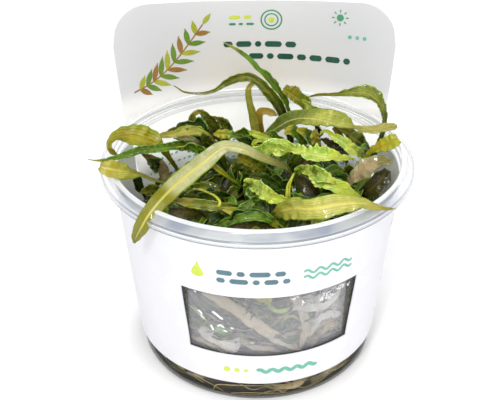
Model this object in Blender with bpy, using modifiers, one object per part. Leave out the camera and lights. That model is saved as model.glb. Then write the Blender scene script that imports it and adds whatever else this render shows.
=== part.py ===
"""Cryptocoryne crispatula in an open tissue culture cup with a card sleeve.

The cup stands on z = 0 with its axis on Z and its front towards -Y. The sleeve
is one die-cut card: a band round the cup with a window in front, and a tall
header panel that rises behind the rim. Lengths are in millimetres up to the
last step, where MM turns them into metres.
"""
import math

import bmesh
import bpy
from mathutils import Vector

MM = 0.001

# Cup
RIM_RADIUS = 50.5
RIM_DROP_Z = 67.1
LIP_RADIUS = 47.0
CUP_HEIGHT = 71.45
CUP_STEPS = 48
WALL = 0.8
WALL_TOP_Z = 66.0
LIP_HALF = 0.7
LIP_ROUND = 0.35
LEDGE_RISE = 1.5
LEDGE_ROUND = 0.4
FOOT_ROUND = 2.6
FLOOR_THICK = 1.0

# Sleeve band
BAND_BOTTOM_Z = 8.85
BAND_TOP_Z = 65.4
BAND_BOTTOM_RADIUS = 40.8
BAND_TOP_RADIUS = 46.3
BAND_ROWS_ABOVE_SPLIT = [58.0, BAND_TOP_Z]
CARD = 0.4
CARD_TO_CUP = 0.4

# Window in the band
WINDOW_CENTRE_DEG = 5.0
WINDOW_HALF_TOP_DEG = 38.0
WINDOW_HALF_BOTTOM_DEG = 36.7
WINDOW_BOTTOM_Z = 20.8
WINDOW_TOP_Z = 45.45
WINDOW_COLUMNS = 14
SIDE_COLUMNS = 8

# Header panel
HEADER_WIDTH = 100.2
HEADER_TOP_Z = 103.8
HEADER_CORNER = 13.4
HEADER_SPLIT_Z = 50.0
HEADER_CLEAR_Z = 66.0
HEADER_ROWS = [53.0, 56.0, 59.0, 62.0, 66.0, 70.0]
HEADER_TOP_SHARES = [0.3, 0.6, 0.82, 1.0]
HEADER_BACK_Y = 51.7
HEADER_BACK_Z = 70.0
HEADER_LEAN = -0.080
HEADER_CURVE_LOW = 0.0142
HEADER_CURVE_TOP = 0.0046
HEADER_COLUMNS = 20
SLIT = 1.6

# Plant
LEAF_THICK = 0.6
LEAF_FACING = Vector((0.0, -0.85, 0.52))
KEEL = 0.12
STALK_SHARE = 0.28
BLADE_OPENS = 0.22
TIP_SHARE = 0.12
TIP_POWER = 1.7
SEGMENT = 6.5
GAP = 0.4
ROOT_LIFT = 1.4
ROOTS_TOP_Z = 17.0


def band_radius(z):
    """Outer radius of the band, carried on above and below it."""
    slope = (BAND_TOP_RADIUS - BAND_BOTTOM_RADIUS) / (BAND_TOP_Z - BAND_BOTTOM_Z)
    return BAND_BOTTOM_RADIUS + slope * (z - BAND_BOTTOM_Z)


def cup_outer(z):
    return band_radius(z) - CARD - CARD_TO_CUP


def cup_inner(z):
    return cup_outer(z) - WALL


def smoothstep(t):
    t = min(1.0, max(0.0, t))
    return t * t * (3.0 - 2.0 * t)


def lerp(a, b, t):
    return a + (b - a) * t


def material(name, colour, roughness, alpha=1.0, transmission=0.0):
    made = bpy.data.materials.get(name)
    if made:
        return made
    made = bpy.data.materials.new(name)
    made.use_nodes = True
    shader = made.node_tree.nodes["Principled BSDF"]
    shader.inputs["Base Color"].default_value = (*colour, 1.0)
    shader.inputs["Roughness"].default_value = roughness
    shader.inputs["Metallic"].default_value = 0.0
    shader.inputs["Alpha"].default_value = alpha
    shader.inputs["Transmission Weight"].default_value = transmission
    made.diffuse_color = (*colour, alpha)
    return made


def add_object(name, mesh, collection, look):
    made = bpy.data.objects.new(name, mesh)
    made.data.materials.append(look)
    collection.objects.link(made)
    return made


def mesh_from(bm, name):
    bmesh.ops.recalc_face_normals(bm, faces=bm.faces)
    mesh = bpy.data.meshes.new(name)
    bm.to_mesh(mesh)
    bm.free()
    mesh.shade_smooth()
    return mesh


def arc(centre, radius, start_deg, end_deg, steps):
    """Points on an arc in the profile plane, both ends included."""
    points = []
    for i in range(steps + 1):
        angle = math.radians(lerp(start_deg, end_deg, i / steps))
        points.append((centre[0] + radius * math.cos(angle), centre[1] + radius * math.sin(angle)))
    return points


def cup_profile():
    """From the inside of the floor up the wall, over the rim and down the outside."""
    inner_round = FOOT_ROUND - WALL * 0.5
    inner_foot = (cup_inner(FLOOR_THICK + inner_round) - inner_round, FLOOR_THICK + inner_round)
    outer_foot = (cup_outer(FOOT_ROUND) - FOOT_ROUND, FOOT_ROUND)
    ledge_z = RIM_DROP_Z + LEDGE_RISE
    points = [(0.0, FLOOR_THICK)]
    points += arc(inner_foot, inner_round, -90.0, 0.0, 3)
    points += [
        (cup_inner(WALL_TOP_Z), WALL_TOP_Z),
        (LIP_RADIUS - WALL, ledge_z + LIP_HALF),
        (LIP_RADIUS - LIP_HALF, CUP_HEIGHT - LIP_ROUND),
        (LIP_RADIUS, CUP_HEIGHT),
        (LIP_RADIUS + LIP_HALF, CUP_HEIGHT - LIP_ROUND),
        (RIM_RADIUS - 3.0 * LEDGE_ROUND, ledge_z + 2.0 * LEDGE_ROUND),
        (RIM_RADIUS - 0.5 * LEDGE_ROUND, ledge_z + LEDGE_ROUND),
        (RIM_RADIUS, ledge_z),
        (RIM_RADIUS, RIM_DROP_Z),
        (RIM_RADIUS - WALL, RIM_DROP_Z),
        (RIM_RADIUS - WALL - LEDGE_ROUND, ledge_z - 0.5 * LEDGE_ROUND),
        (LIP_RADIUS + 0.5 * LIP_HALF, ledge_z + LIP_HALF),
        (LIP_RADIUS - 0.5 * LIP_HALF, RIM_DROP_Z + 0.5 * LIP_HALF),
        (cup_outer(WALL_TOP_Z), WALL_TOP_Z),
    ]
    points += arc(outer_foot, FOOT_ROUND, 0.0, -90.0, 3)
    points.append((0.0, 0.0))
    return points


def build_cup(collection, look):
    bm = bmesh.new()
    verts = [bm.verts.new((r * MM, 0.0, z * MM)) for r, z in cup_profile()]
    for a, b in zip(verts, verts[1:]):
        bm.edges.new((a, b))
    mesh = bpy.data.meshes.new("cup")
    bm.to_mesh(mesh)
    bm.free()
    cup = add_object("cup", mesh, collection, look)
    screw = cup.modifiers.new("turn", "SCREW")
    screw.steps = CUP_STEPS
    screw.render_steps = CUP_STEPS
    screw.use_merge_vertices = True
    screw.merge_threshold = 0.00002
    screw.use_smooth_shade = True
    return cup


def header_rise(z):
    """0 while the card still lies on the band, 1 once it is clear of the rim."""
    return smoothstep((z - HEADER_SPLIT_Z) / (HEADER_CLEAR_Z - HEADER_SPLIT_Z))


def header_point(u, z):
    """A point of the header's outer face, u along the card from its middle."""
    rise = header_rise(z)
    low = 1.0 / band_radius(min(z, BAND_TOP_Z))
    up = (z - HEADER_CLEAR_Z) / (HEADER_TOP_Z - HEADER_CLEAR_Z)
    free = lerp(HEADER_CURVE_LOW, HEADER_CURVE_TOP, max(0.0, up))
    curve = lerp(low, free, rise)
    back_y = lerp(band_radius(min(z, BAND_TOP_Z)), HEADER_BACK_Y + HEADER_LEAN * (z - HEADER_BACK_Z), rise)
    turn = u * curve
    return Vector((math.sin(turn) / curve, back_y - (1.0 - math.cos(turn)) / curve, z))


def header_top(u):
    """Height of the header's top edge, with its rounded corners."""
    past = abs(u) - (HEADER_WIDTH / 2 - HEADER_CORNER)
    if past <= 0.0:
        return HEADER_TOP_Z
    past = min(past, HEADER_CORNER)
    return HEADER_TOP_Z - HEADER_CORNER + math.sqrt(HEADER_CORNER**2 - past**2)


def band_columns():
    """Angles from the back, window and header edges included, in degrees."""
    half_header = math.degrees(HEADER_WIDTH / 2 / band_radius(HEADER_SPLIT_Z))
    slit_edge = half_header + math.degrees(SLIT / band_radius(HEADER_SPLIT_Z))
    window_left = 180.0 - WINDOW_CENTRE_DEG - WINDOW_HALF_TOP_DEG
    window_right = 180.0 - WINDOW_CENTRE_DEG + WINDOW_HALF_TOP_DEG
    marks = [-half_header, half_header, slit_edge, window_left, window_right, 360.0 - slit_edge]
    counts = [HEADER_COLUMNS, 1, SIDE_COLUMNS, WINDOW_COLUMNS, SIDE_COLUMNS]
    columns = []
    for start, end, count in zip(marks, marks[1:], counts):
        columns += [lerp(start, end, i / count) for i in range(count)]
    columns.append(marks[-1])
    return columns, marks


def window_angle(angle, z, marks):
    """The window narrows a little towards its lower edge."""
    centre = 180.0 - WINDOW_CENTRE_DEG
    if not marks[3] - 0.01 <= angle <= marks[4] + 0.01:
        return angle
    t = min(1.0, max(0.0, (z - WINDOW_BOTTOM_Z) / (WINDOW_TOP_Z - WINDOW_BOTTOM_Z)))
    narrow = lerp(WINDOW_HALF_BOTTOM_DEG / WINDOW_HALF_TOP_DEG, 1.0, t)
    return centre + (angle - centre) * narrow


def band_point(angle, z):
    turn = math.radians(angle)
    radius = band_radius(z)
    return Vector((math.sin(turn) * radius, math.cos(turn) * radius, z))


def build_sleeve(collection, look):
    columns, marks = band_columns()
    window_middle = 0.5 * (WINDOW_BOTTOM_Z + WINDOW_TOP_Z)
    low_rows = [BAND_BOTTOM_Z, WINDOW_BOTTOM_Z, window_middle, WINDOW_TOP_Z, HEADER_SPLIT_Z]
    bm = bmesh.new()
    low, high, header = [], [], []
    for angle in columns:
        shaped = [band_point(window_angle(angle, z, marks), z) for z in low_rows]
        low.append([bm.verts.new(p * MM) for p in shaped])
    for index, angle in enumerate(columns):
        if index <= HEADER_COLUMNS:
            u = math.radians(angle) * band_radius(HEADER_SPLIT_Z)
            top = header_top(u)
            heights = HEADER_ROWS + [lerp(HEADER_ROWS[-1], top, s) for s in HEADER_TOP_SHARES]
            points = [header_point(u, z) for z in heights]
            header.append([low[index][-1]] + [bm.verts.new(p * MM) for p in points])
        if index > HEADER_COLUMNS:
            points = [band_point(angle, z) for z in BAND_ROWS_ABOVE_SPLIT]
            high.append([low[index][-1]] + [bm.verts.new(p * MM) for p in points])
    stitch(bm, low, closed=True, skip=window_cell(columns, marks))
    stitch(bm, high)
    stitch(bm, header)
    sleeve = add_object("card_sleeve", mesh_from(bm, "card_sleeve"), collection, look)
    solid = sleeve.modifiers.new("card", "SOLIDIFY")
    solid.thickness = CARD * MM
    solid.offset = -1.0
    return sleeve


def window_cell(columns, marks):
    """Says whether a cell of the low rows lies in the window."""
    def inside(column, row):
        middle = columns[column] + 0.1
        return marks[3] < middle < marks[4] and row in (1, 2)
    return inside


def stitch(bm, strips, closed=False, skip=None):
    """Faces between neighbouring strips of vertices, wound to face outwards."""
    count = len(strips) if closed else len(strips) - 1
    for i in range(count):
        left, right = strips[i], strips[(i + 1) % len(strips)]
        for row in range(len(left) - 1):
            if skip and skip(i, row):
                continue
            bm.faces.new((left[row], left[row + 1], right[row + 1], right[row]))


def mound_top(x, y):
    """Height of the packed inner leaves, lower behind and to the left."""
    lumps = 1.3 * math.sin(0.21 * x + 0.6) * math.cos(0.19 * y - 0.4)
    return 49.0 - 0.10 * y + 0.06 * x + lumps


# The drum's outline as shares of the cup's radius and of the drum's height.
DRUM_OUTLINE = [
    (0.0, 1.0), (0.25, 1.0), (0.5, 1.0), (0.75, 1.0), (0.94, 0.98), (1.0, 0.86),
    (1.0, 0.5), (1.0, 0.16), (0.95, 0.0), (0.55, 0.0), (0.0, 0.0),
]


def drum(name, bottom_z, top_of, segments, collection, look):
    """A lumpy drum that fills the cup between two heights."""
    rings = len(DRUM_OUTLINE) - 1
    bm = bmesh.new()
    bmesh.ops.create_uvsphere(bm, u_segments=segments, v_segments=rings, radius=1.0)
    for vert in bm.verts:
        around = math.atan2(vert.co.y, vert.co.x)
        ring = round(math.acos(max(-1.0, min(1.0, vert.co.z))) / math.pi * rings)
        out, lift = DRUM_OUTLINE[ring]
        height = lerp(bottom_z, top_of(0.0, 0.0), lift)
        dent = 0.9 + 0.6 * math.sin(5.0 * around + 0.2 * height)
        near_foot = max(0.0, FOOT_ROUND + FLOOR_THICK - height)
        reach = (cup_inner(height) - GAP - dent - near_foot) * out
        place = Vector((math.cos(around) * reach, math.sin(around) * reach, 0.0))
        place.z = lerp(bottom_z, top_of(place.x, place.y), lift)
        vert.co = place * MM
    return add_object(name, mesh_from(bm, name), collection, look)


def catmull(a, b, c, d, t):
    return 0.5 * (
        2.0 * b + (c - a) * t + (2.0 * a - 5.0 * b + 4.0 * c - d) * t * t
        + (3.0 * b - a - 3.0 * c + d) * t * t * t
    )


def smooth_route(points, count):
    """count + 1 evenly spaced points on a smooth curve through the given ones."""
    knots = [Vector(p) for p in points]
    padded = [2 * knots[0] - knots[1]] + knots + [2 * knots[-1] - knots[-2]]
    fine = [
        catmull(*padded[i : i + 4], step / 12)
        for i in range(len(knots) - 1)
        for step in range(12)
    ]
    fine.append(knots[-1])
    walked = [0.0]
    for a, b in zip(fine, fine[1:]):
        walked.append(walked[-1] + (b - a).length)
    route = []
    for i in range(count + 1):
        target = walked[-1] * i / count
        index = max(j for j, w in enumerate(walked) if w <= target + 1e-9)
        index = min(index, len(fine) - 2)
        span = walked[index + 1] - walked[index]
        route.append(fine[index].lerp(fine[index + 1], (target - walked[index]) / span))
    return route


def blade_width(t, stalk, narrows):
    """Share of the full width at t: a narrow stalk, a blade, then a pointed tip."""
    grow = smoothstep((t - stalk) / BLADE_OPENS) if stalk else 1.0
    past = max(0.0, (t - narrows) / (1.001 - narrows))
    return lerp(STALK_SHARE, 1.0, grow) * max(TIP_SHARE, 1.0 - past**TIP_POWER)


def build_leaf(name, width, stalk, narrows, points, collection, look):
    """A thin keeled ribbon along a route, its face turned up and to the front."""
    points = [(x, y, mound_top(x, y) + ROOT_LIFT if z is None else z) for x, y, z in points]
    length = sum((Vector(b) - Vector(a)).length for a, b in zip(points, points[1:]))
    count = max(5, round(length / SEGMENT))
    route = smooth_route(points, count)
    bm = bmesh.new()
    strips = []
    for i, centre in enumerate(route):
        along = (route[min(i + 1, count)] - route[max(i - 1, 0)]).normalized()
        normal = (LEAF_FACING - along * LEAF_FACING.dot(along)).normalized()
        side = along.cross(normal)
        half = 0.5 * width * blade_width(i / count, stalk, narrows)
        middle = centre - normal * (KEEL * 2.0 * half)
        across = (centre - side * half, middle, centre + side * half)
        strips.append([bm.verts.new(p * MM) for p in across])
    stitch(bm, strips)
    leaf = add_object(name, mesh_from(bm, name), collection, look)
    solid = leaf.modifiers.new("blade", "SOLIDIFY")
    solid.thickness = LEAF_THICK * MM
    solid.offset = 0.0
    return leaf


# Each leaf: width, share of its length that is stalk, share where it starts to
# narrow, tone, and its route from base to tip. None stands for the height of
# the packed inner leaves that the stalk comes out of.
LEAVES = {
    "leaf_strap": (7.4, 0.03, 0.8, "pale", [
        (13, 14, None), (9, 5, 61), (1.5, 1, 69.5), (-4, -3, 73.5), (-10, -6.5, 75.5),
        (-17, -15, 76.5), (-23.5, -27.5, 75), (-29, -38, 74), (-33, -41.5, 69.5), (-37, -38, 61)]),
    "leaf_left_crisped": (4.6, 0.1, 0.45, "green", [
        (-8, 20, None), (-14, 13, 62), (-19, 4, 69.5), (-28, -4.5, 73.5), (-37, -11, 76.5),
        (-45, -13, 76.5), (-50, -11.5, 75.5), (-54, -6, 72.5)]),
    "leaf_left_olive": (5.4, 0.2, 0.7, "olive", [
        (-24, 22, None), (-30, 14, 65), (-36, 7, 72), (-41, 4, 76), (-46, -1, 77), (-47.5, -5, 76),
        (-46, -6, 73)]),
    "leaf_left_broad": (6.0, 0.3, 0.7, "pale", [
        (-20, 8, None), (-26, 1, 57), (-30, -3, 62), (-35, -12, 69), (-40, -18, 74), (-45, -19, 76),
        (-50, -14, 76)]),
    "leaf_arch_tall": (5.0, 0.1, 0.35, "olive", [
        (14, 35, None), (12, 31.5, 63), (9.5, 24, 73.5), (6.5, 21, 80), (3, 17.5, 86),
        (0, 17.5, 89), (-3.5, 17.5, 90), (-8, 20, 87), (-13.5, 20.5, 83), (-21.5, 20, 82),
        (-27.5, 22, 84.5)]),
    "leaf_arch_inner": (3.6, 0.1, 0.7, "olive", [
        (0, 36, None), (-1, 31, 63), (-2, 25.5, 71.5), (-3, 21, 80), (-2, 21, 84.5), (1, 21, 85),
        (4, 21, 82)]),
    "leaf_diagonal": (3.8, 0.1, 0.4, "green", [
        (19, 34, None), (14.5, 34.5, 62), (13, 28, 72.5), (11, 25.5, 79), (7.5, 23.5, 85),
        (3, 21.5, 90), (-2, 22, 93.5), (-8, 29, 95), (-11, 33, 95)]),
    "leaf_back_crisped": (5.4, 0.3, 0.75, "green", [
        (23, 32, None), (22, 31, 65), (19, 29, 71), (16, 26, 77), (12.5, 22.5, 82)]),
    "leaf_arch_right": (5.0, 0.1, 0.5, "olive", [
        (36, 14, None), (38.5, 11, 61), (40.8, 13, 70), (42, 16.5, 77.5), (39.5, 17, 81.5),
        (35, 15.5, 85), (30.5, 14.5, 84.6), (24, 15.5, 82.9), (16.5, 18.5, 81)]),
    "leaf_veined": (7.0, 0.1, 0.55, "olive", [
        (3, 30, None), (3, 26, 61), (5.5, 23, 67), (9.5, 19.5, 71.5), (15.5, 18.5, 74),
        (22, 17.5, 75.4), (28, 13.5, 75.2), (33, 8.5, 75.3), (39, 5.5, 75.8), (46, 7.5, 76)]),
    "leaf_dark_droop": (4.6, 0.1, 0.7, "dark", [
        (27, 29, None), (27, 28, 61), (28, 23, 69), (32, 18, 70.5), (36, 16.5, 65.5),
        (39, 16, 58)]),
    "leaf_right_broad": (8.4, 0.3, 0.85, "olive", [
        (33, 11, None), (35.5, 7, 60), (37, 2.5, 67.5), (41, 1.2, 72), (46, 2.2, 75)]),
    "leaf_right_grey": (6.0, 0.1, 0.75, "grey", [
        (27, 2, None), (31, -1, 61), (37, -3, 68), (43, -2, 71.5)]),
    "leaf_right_dark": (6.0, 0.1, 0.8, "dark", [
        (34, 4, None), (36.5, -1, 56), (39.5, -2, 61), (41, -1, 65)]),
    "leaf_bright_upper": (6.0, 0.2, 0.6, "green", [
        (-3, 15, None), (-1, 12.5, 61), (2.5, 10, 65.8), (6, 8, 69.4), (11, 1, 73.2),
        (18, -5, 74), (25, -7.5, 73), (30, -5.5, 69.5)]),
    "leaf_bright_lower": (6.4, 0.2, 0.6, "green", [
        (14, 10, None), (13, 2, 61), (15, -7, 68.3), (19, -17, 72), (26, -21, 70), (32, -23, 67)]),
    "leaf_front_twisted": (7.0, 0.1, 0.6, "pale", [
        (3, -20, None), (3, -24, 60), (5, -31, 66.5), (10, -36.3, 71.6), (17, -39.2, 74.3),
        (26, -38, 75.6), (34, -37.6, 74), (40, -35.5, 70.8)]),
    "leaf_front_pale": (5.0, 0.1, 0.6, "green", [
        (-3, 0, None), (-3, -6, 62), (-3, -14, 69), (2, -22, 71.5), (8, -28, 72)]),
    "stalk_loop": (1.5, 0.0, 1.0, "stalk", [
        (-21, -9, None), (-20, -16.3, 67.3), (-17, -22.3, 70.7), (-13, -27, 71.5),
        (-12, -30.4, 70.7), (-13.5, -31.6, 69.5)]),
    "leaf_front_olive": (4.6, 0.2, 0.6, "olive", [
        (-4, -14.5, None), (-5, -18, 62), (-9, -20.5, 65.5), (-16, -23.3, 67.4),
        (-22, -24.5, 68), (-27, -23.8, 69.5)]),
    "leaf_front_arch": (3.6, 0.1, 0.6, "green", [
        (-13, -24, None), (-14, -27.5, 60), (-11, -31, 65), (-5, -33.5, 67), (1, -33.5, 64),
        (5, -33.5, 59)]),
    "leaf_curled": (5.0, 0.1, 0.7, "dark", [
        (-12, 30, None), (-12, 27, 60), (-13, 20, 69), (-16, 16, 76), (-19, 14, 79), (-22, 13, 77),
        (-21, 14, 71)]),
    "leaf_back_pale": (4.4, 0.1, 0.6, "pale", [
        (-10, 24, None), (-14, 19, 63), (-18, 13, 70), (-24, 7, 75), (-31, 4, 75)]),
    "leaf_left_grey": (4.0, 0.1, 0.7, "grey", [
        (-27, 10, None), (-31, 3, 63), (-34, -1, 69), (-37, -4, 73)]),
    "leaf_orange": (4.0, 0.2, 0.7, "olive", [
        (8, 36, None), (6, 35, 60), (4, 30, 67.5), (4, 27, 72), (8, 26.5, 72.5)]),
    "stalk_upright": (2.2, 0.0, 1.0, "stalk", [
        (9, -11, None), (9.5, -13.5, 58), (10, -15, 65), (11, -14, 69)]),
    "leaf_dark_right": (4.4, 0.1, 0.7, "green", [
        (22, 22, None), (23, 20, 61), (27, 13, 68.5), (30, 5, 71), (32.5, 4, 69)]),
    "stalk_olive": (2.0, 0.0, 1.0, "olive", [
        (-5, 9, None), (-6, 5, 56), (-8, -1, 62.5), (-11, -7, 68.5), (-15, -9, 72)]),
    "leaf_dark_centre": (4.6, 0.1, 0.7, "dark", [
        (4, 10, None), (4, 6, 55), (4, -3, 59), (6, -9, 60.5), (9, -10, 56)]),
    "leaf_dark_crisped": (5.6, 0.2, 0.75, "dark", [
        (3, 16, None), (0, 9, 58), (-3, 3, 65), (-5, 1, 68.5)]),
    "leaf_front_brown": (4.6, 0.1, 0.7, "olive", [
        (3, -27, None), (1, -30, 55), (-4, -35, 58), (-9, -38, 61), (-15, -37, 62)]),
    "leaf_front_low": (4.2, 0.1, 0.6, "dark", [
        (-18, -14, None), (-19, -19, 57), (-21, -24, 62), (-24, -27, 65), (-28, -27, 67)]),
    "leaf_dark_left": (4.6, 0.1, 0.6, "dark", [
        (-10, -3, None), (-10, -6, 58), (-13, -12, 62), (-18, -19, 65), (-23, -21, 67.5)]),
    "leaf_upright_left": (3.0, 0.1, 0.7, "dark", [
        (-38, 11, None), (-39.5, 8, 54), (-40, 4, 61)]),
    "leaf_left_low": (3.6, 0.1, 0.7, "olive", [
        (-28, 6, None), (-33, 1, 56), (-36, -4, 59), (-38, -7, 60)]),
    "leaf_centre_crisped": (4.4, 0.1, 0.6, "green", [
        (11, 21, None), (8, 17.5, 63.5), (3, 13.8, 69.2), (-2, 11, 72.2), (-9, 7.5, 73.5), (-16, 6, 74.5)]),
    "leaf_centre_bright": (4.4, 0.2, 0.7, "green", [
        (15, 17, None), (14.5, 13, 61), (13.5, 7.5, 68), (11, 7.5, 71.5), (9, 9, 72.5)]),
}


def clear_scene():
    for old in list(bpy.data.objects):
        bpy.data.objects.remove(old, do_unlink=True)


def main():
    clear_scene()
    parts = bpy.data.collections.new("cryptocoryne_crispatula_tissue_culture_cup")
    bpy.context.scene.collection.children.link(parts)
    tones = {
        "pale": material("pale_leaf", (0.52, 0.58, 0.30), 0.4),
        "green": material("green_leaf", (0.20, 0.42, 0.06), 0.4),
        "olive": material("olive_leaf", (0.38, 0.40, 0.08), 0.4),
        "dark": material("dark_leaf", (0.07, 0.14, 0.04), 0.4),
        "grey": material("grey_leaf", (0.35, 0.33, 0.28), 0.4),
        "stalk": material("yellow_stalk", (0.66, 0.62, 0.14), 0.4),
    }
    build_cup(parts, material("clear_plastic", (0.93, 0.95, 0.97), 0.08, 0.35, 0.9))
    build_sleeve(parts, material("white_card", (0.86, 0.86, 0.88), 0.35))
    drum("roots", FLOOR_THICK + GAP, lambda x, y: ROOTS_TOP_Z, 24, parts,
         material("root_mass", (0.25, 0.20, 0.12), 0.6))
    drum("inner_leaves", ROOTS_TOP_Z + GAP, mound_top, 24, parts,
         material("inner_leaf_mass", (0.16, 0.18, 0.09), 0.5))
    for name, (width, stalk, narrows, tone, points) in LEAVES.items():
        build_leaf(name, width, stalk, narrows, points, parts, tones[tone])


main()
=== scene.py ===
"""Looks of an open in-vitro cup packed with Cryptocoryne crispatula.

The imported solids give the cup, the card sleeve and the course of every leaf. Here the cup is
spun finely in clear plastic, the card is cut flat and rolled, its print is laid on as thin
ink, and each leaf becomes a blade with a midrib, veins and a crisped edge. Lengths are in
millimetres until MM turns them into metres.
"""

import math
import random

import bpy
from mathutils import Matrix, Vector, noise


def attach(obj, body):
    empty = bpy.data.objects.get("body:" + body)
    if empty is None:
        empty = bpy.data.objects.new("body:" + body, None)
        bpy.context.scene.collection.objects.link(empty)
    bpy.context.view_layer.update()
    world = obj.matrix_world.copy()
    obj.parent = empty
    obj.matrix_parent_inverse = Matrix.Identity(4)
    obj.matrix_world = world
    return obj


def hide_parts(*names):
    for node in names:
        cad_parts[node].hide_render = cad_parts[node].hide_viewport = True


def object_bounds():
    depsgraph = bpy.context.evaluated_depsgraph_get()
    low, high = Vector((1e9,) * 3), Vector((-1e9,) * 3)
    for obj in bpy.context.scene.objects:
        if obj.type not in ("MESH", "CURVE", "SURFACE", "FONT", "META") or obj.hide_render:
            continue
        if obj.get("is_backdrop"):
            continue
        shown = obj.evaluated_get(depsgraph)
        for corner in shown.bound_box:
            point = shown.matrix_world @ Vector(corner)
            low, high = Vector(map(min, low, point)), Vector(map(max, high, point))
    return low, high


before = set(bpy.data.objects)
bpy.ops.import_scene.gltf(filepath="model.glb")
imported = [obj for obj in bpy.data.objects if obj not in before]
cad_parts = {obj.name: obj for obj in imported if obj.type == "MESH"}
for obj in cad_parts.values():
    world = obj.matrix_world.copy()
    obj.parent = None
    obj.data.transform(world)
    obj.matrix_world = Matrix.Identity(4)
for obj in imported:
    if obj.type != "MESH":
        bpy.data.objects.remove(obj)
cad_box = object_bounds()

MM = 0.001

# Cup
RIM_RADIUS = 50.5
RIM_DROP_Z = 67.1
LIP_RADIUS = 47.0
CUP_HEIGHT = 71.45
CUP_STEPS = 160
WALL = 0.8
WALL_TOP_Z = 66.0
FOOT_ROUND = 2.6
FLOOR_THICK = 0.5
FLOOR_ROUND = 2.2
LEDGE_RISE = 1.5

# Sleeve
BAND_BOTTOM_Z = 8.85
BAND_TOP_Z = 65.4
BAND_BOTTOM_RADIUS = 40.8
BAND_TOP_RADIUS = 46.3
CARD = 0.4
CARD_TO_CUP = 0.4
WINDOW_CENTRE_DEG = 5.0
WINDOW_HALF_TOP_DEG = 38.0
WINDOW_HALF_BOTTOM_DEG = 36.7
WINDOW_BOTTOM_Z = 20.8
WINDOW_TOP_Z = 45.45
MIST_LEFT_DEG = (-33.2, -31.2)
MIST_RIGHT_DEG = (41.8, 39.0)
HEADER_WIDTH = 100.2
HEADER_TOP_Z = 103.79
HEADER_CORNER = 13.4
HEADER_SPLIT_Z = 50.0
HEADER_CLEAR_Z = 66.0
HEADER_BACK_Y = 51.69
HEADER_BACK_Z = 70.0
HEADER_LEAN = -0.080
HEADER_CURVE_LOW = 0.0142
HEADER_CURVE_TOP = 0.0046
SLIT = 1.6
INK = 0.05

# Camera, worked out from the rim, the sleeve and the header
CAMERA_DISTANCE = 350.0
CAMERA_ELEVATION = 31.4
CAMERA_AZIMUTH = -1.0
CAMERA_LENS = 76.1
LOOK_RIGHT = -2.35
LOOK_UP = 52.8
SENSOR_WIDTH = 36.0

# Heights between which one zone of the plastic fades into the next, for its painted highlight and painted
# shade
FOOT_TO = (1.6, 3.6)
BELOW_BAND_TO = (8.2, 9.4)
HEM_FROM = (66.9, 67.05)
SKIRT_FROM = (67.45, 67.7)
EDGE_FROM = (68.65, 68.8)
SLOPE_FROM = (69.15, 69.3)
LIP_FROM = (70.8, 70.95)

# Leaves
LEAF_FACING = Vector((0.0, -0.85, 0.52))
BLADE_THICK = 0.22
ROW_STEP = 0.5
BLADE_COLUMNS = 16
FINE_STEPS = 12
STALK_SHARE = 0.28
BLADE_OPENS = 0.22
TIP_SHARE = 0.05
TIP_POWER = 1.7
CALM_BELOW = 1.5
CALM_BASE = 0.12
CALM_TIP = 0.06
EDGE_POWER = 1.6
RIB_DEPTH = 0.2
RIB_SPREAD = 0.13
SLOW_LENGTH = 13.0
LOBE_LENGTH = 4.5

# Packed leaves
PACK_BOTTOM_Z = 19.0
PACK_TOP_Z = 47.0
CORE_REACH = 36.0
RISING_REACH = 40.0
LYING_REACH = 40.5
STALK_FOOT_LIFT = 1.4
GAP_TO_WALL = 0.3
GAP_TO_LIP = 0.5
CLEAR_OF_RIM = 3.6
WALL_MM_PER_DEG = 0.74
STRANDS = 70

# Roots
MAT_BOTTOM_Z = 0.55
MAT_TOP_Z = 17.0
LOOSE_ROOTS = 24
ROOT_LOWEST_Z = 1.5
ROOT_HIGHEST_Z = 16.2

# Moisture, and the painted glints on the wall
FILM = 0.03
MIST_OFF_WALL = 0.12
GLINT_OFF_WALL = 0.16
DROP_OFF_WALL = 0.1

# Where each series of random draws starts
SEEDS = {"inner_marks": 29, "leaflets": 17, "packed": 5, "upper": 31, "roots": 23, "glints": 8, "drops": 3}


def lerp(a, b, t):
    return a + (b - a) * t


def smoothstep(t):
    t = min(1.0, max(0.0, t))
    return t * t * (3.0 - 2.0 * t)


def srgb(red, green, blue):
    """A screen colour from 0 to 255 as linear light."""
    def linear(c):
        c /= 255.0
        return c / 12.92 if c <= 0.04045 else ((c + 0.055) / 1.055) ** 2.4
    return linear(red), linear(green), linear(blue)


# Modelling helpers

def select_only(piece):
    bpy.ops.object.select_all(action="DESELECT")
    piece.select_set(True)
    bpy.context.view_layer.objects.active = piece


def apply_modifier(piece, kind, **settings):
    select_only(piece)
    modifier = piece.modifiers.new(kind.lower(), kind)
    for name, value in settings.items():
        setattr(modifier, name, value)
    bpy.ops.object.modifier_apply(modifier=modifier.name)


def edit_whole(piece, *steps):
    """Runs mesh operators in edit mode, each with the whole piece selected."""
    select_only(piece)
    bpy.ops.object.mode_set(mode="EDIT")
    for operator, settings in steps:
        bpy.ops.mesh.select_all(action="SELECT")
        operator(**settings)
    bpy.ops.object.mode_set(mode="OBJECT")


def merging(distance):
    """An edit step that merges points closer than a distance in mm."""
    return bpy.ops.mesh.remove_doubles, dict(threshold=distance * MM)


def facing_out():
    """An edit step that turns every face outwards."""
    return bpy.ops.mesh.normals_make_consistent, dict(inside=False)


def smooth_below(piece, degrees):
    """Shades the piece smooth except where faces meet at more than an angle."""
    select_only(piece)
    bpy.ops.object.shade_smooth_by_angle(angle=math.radians(degrees))


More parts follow.
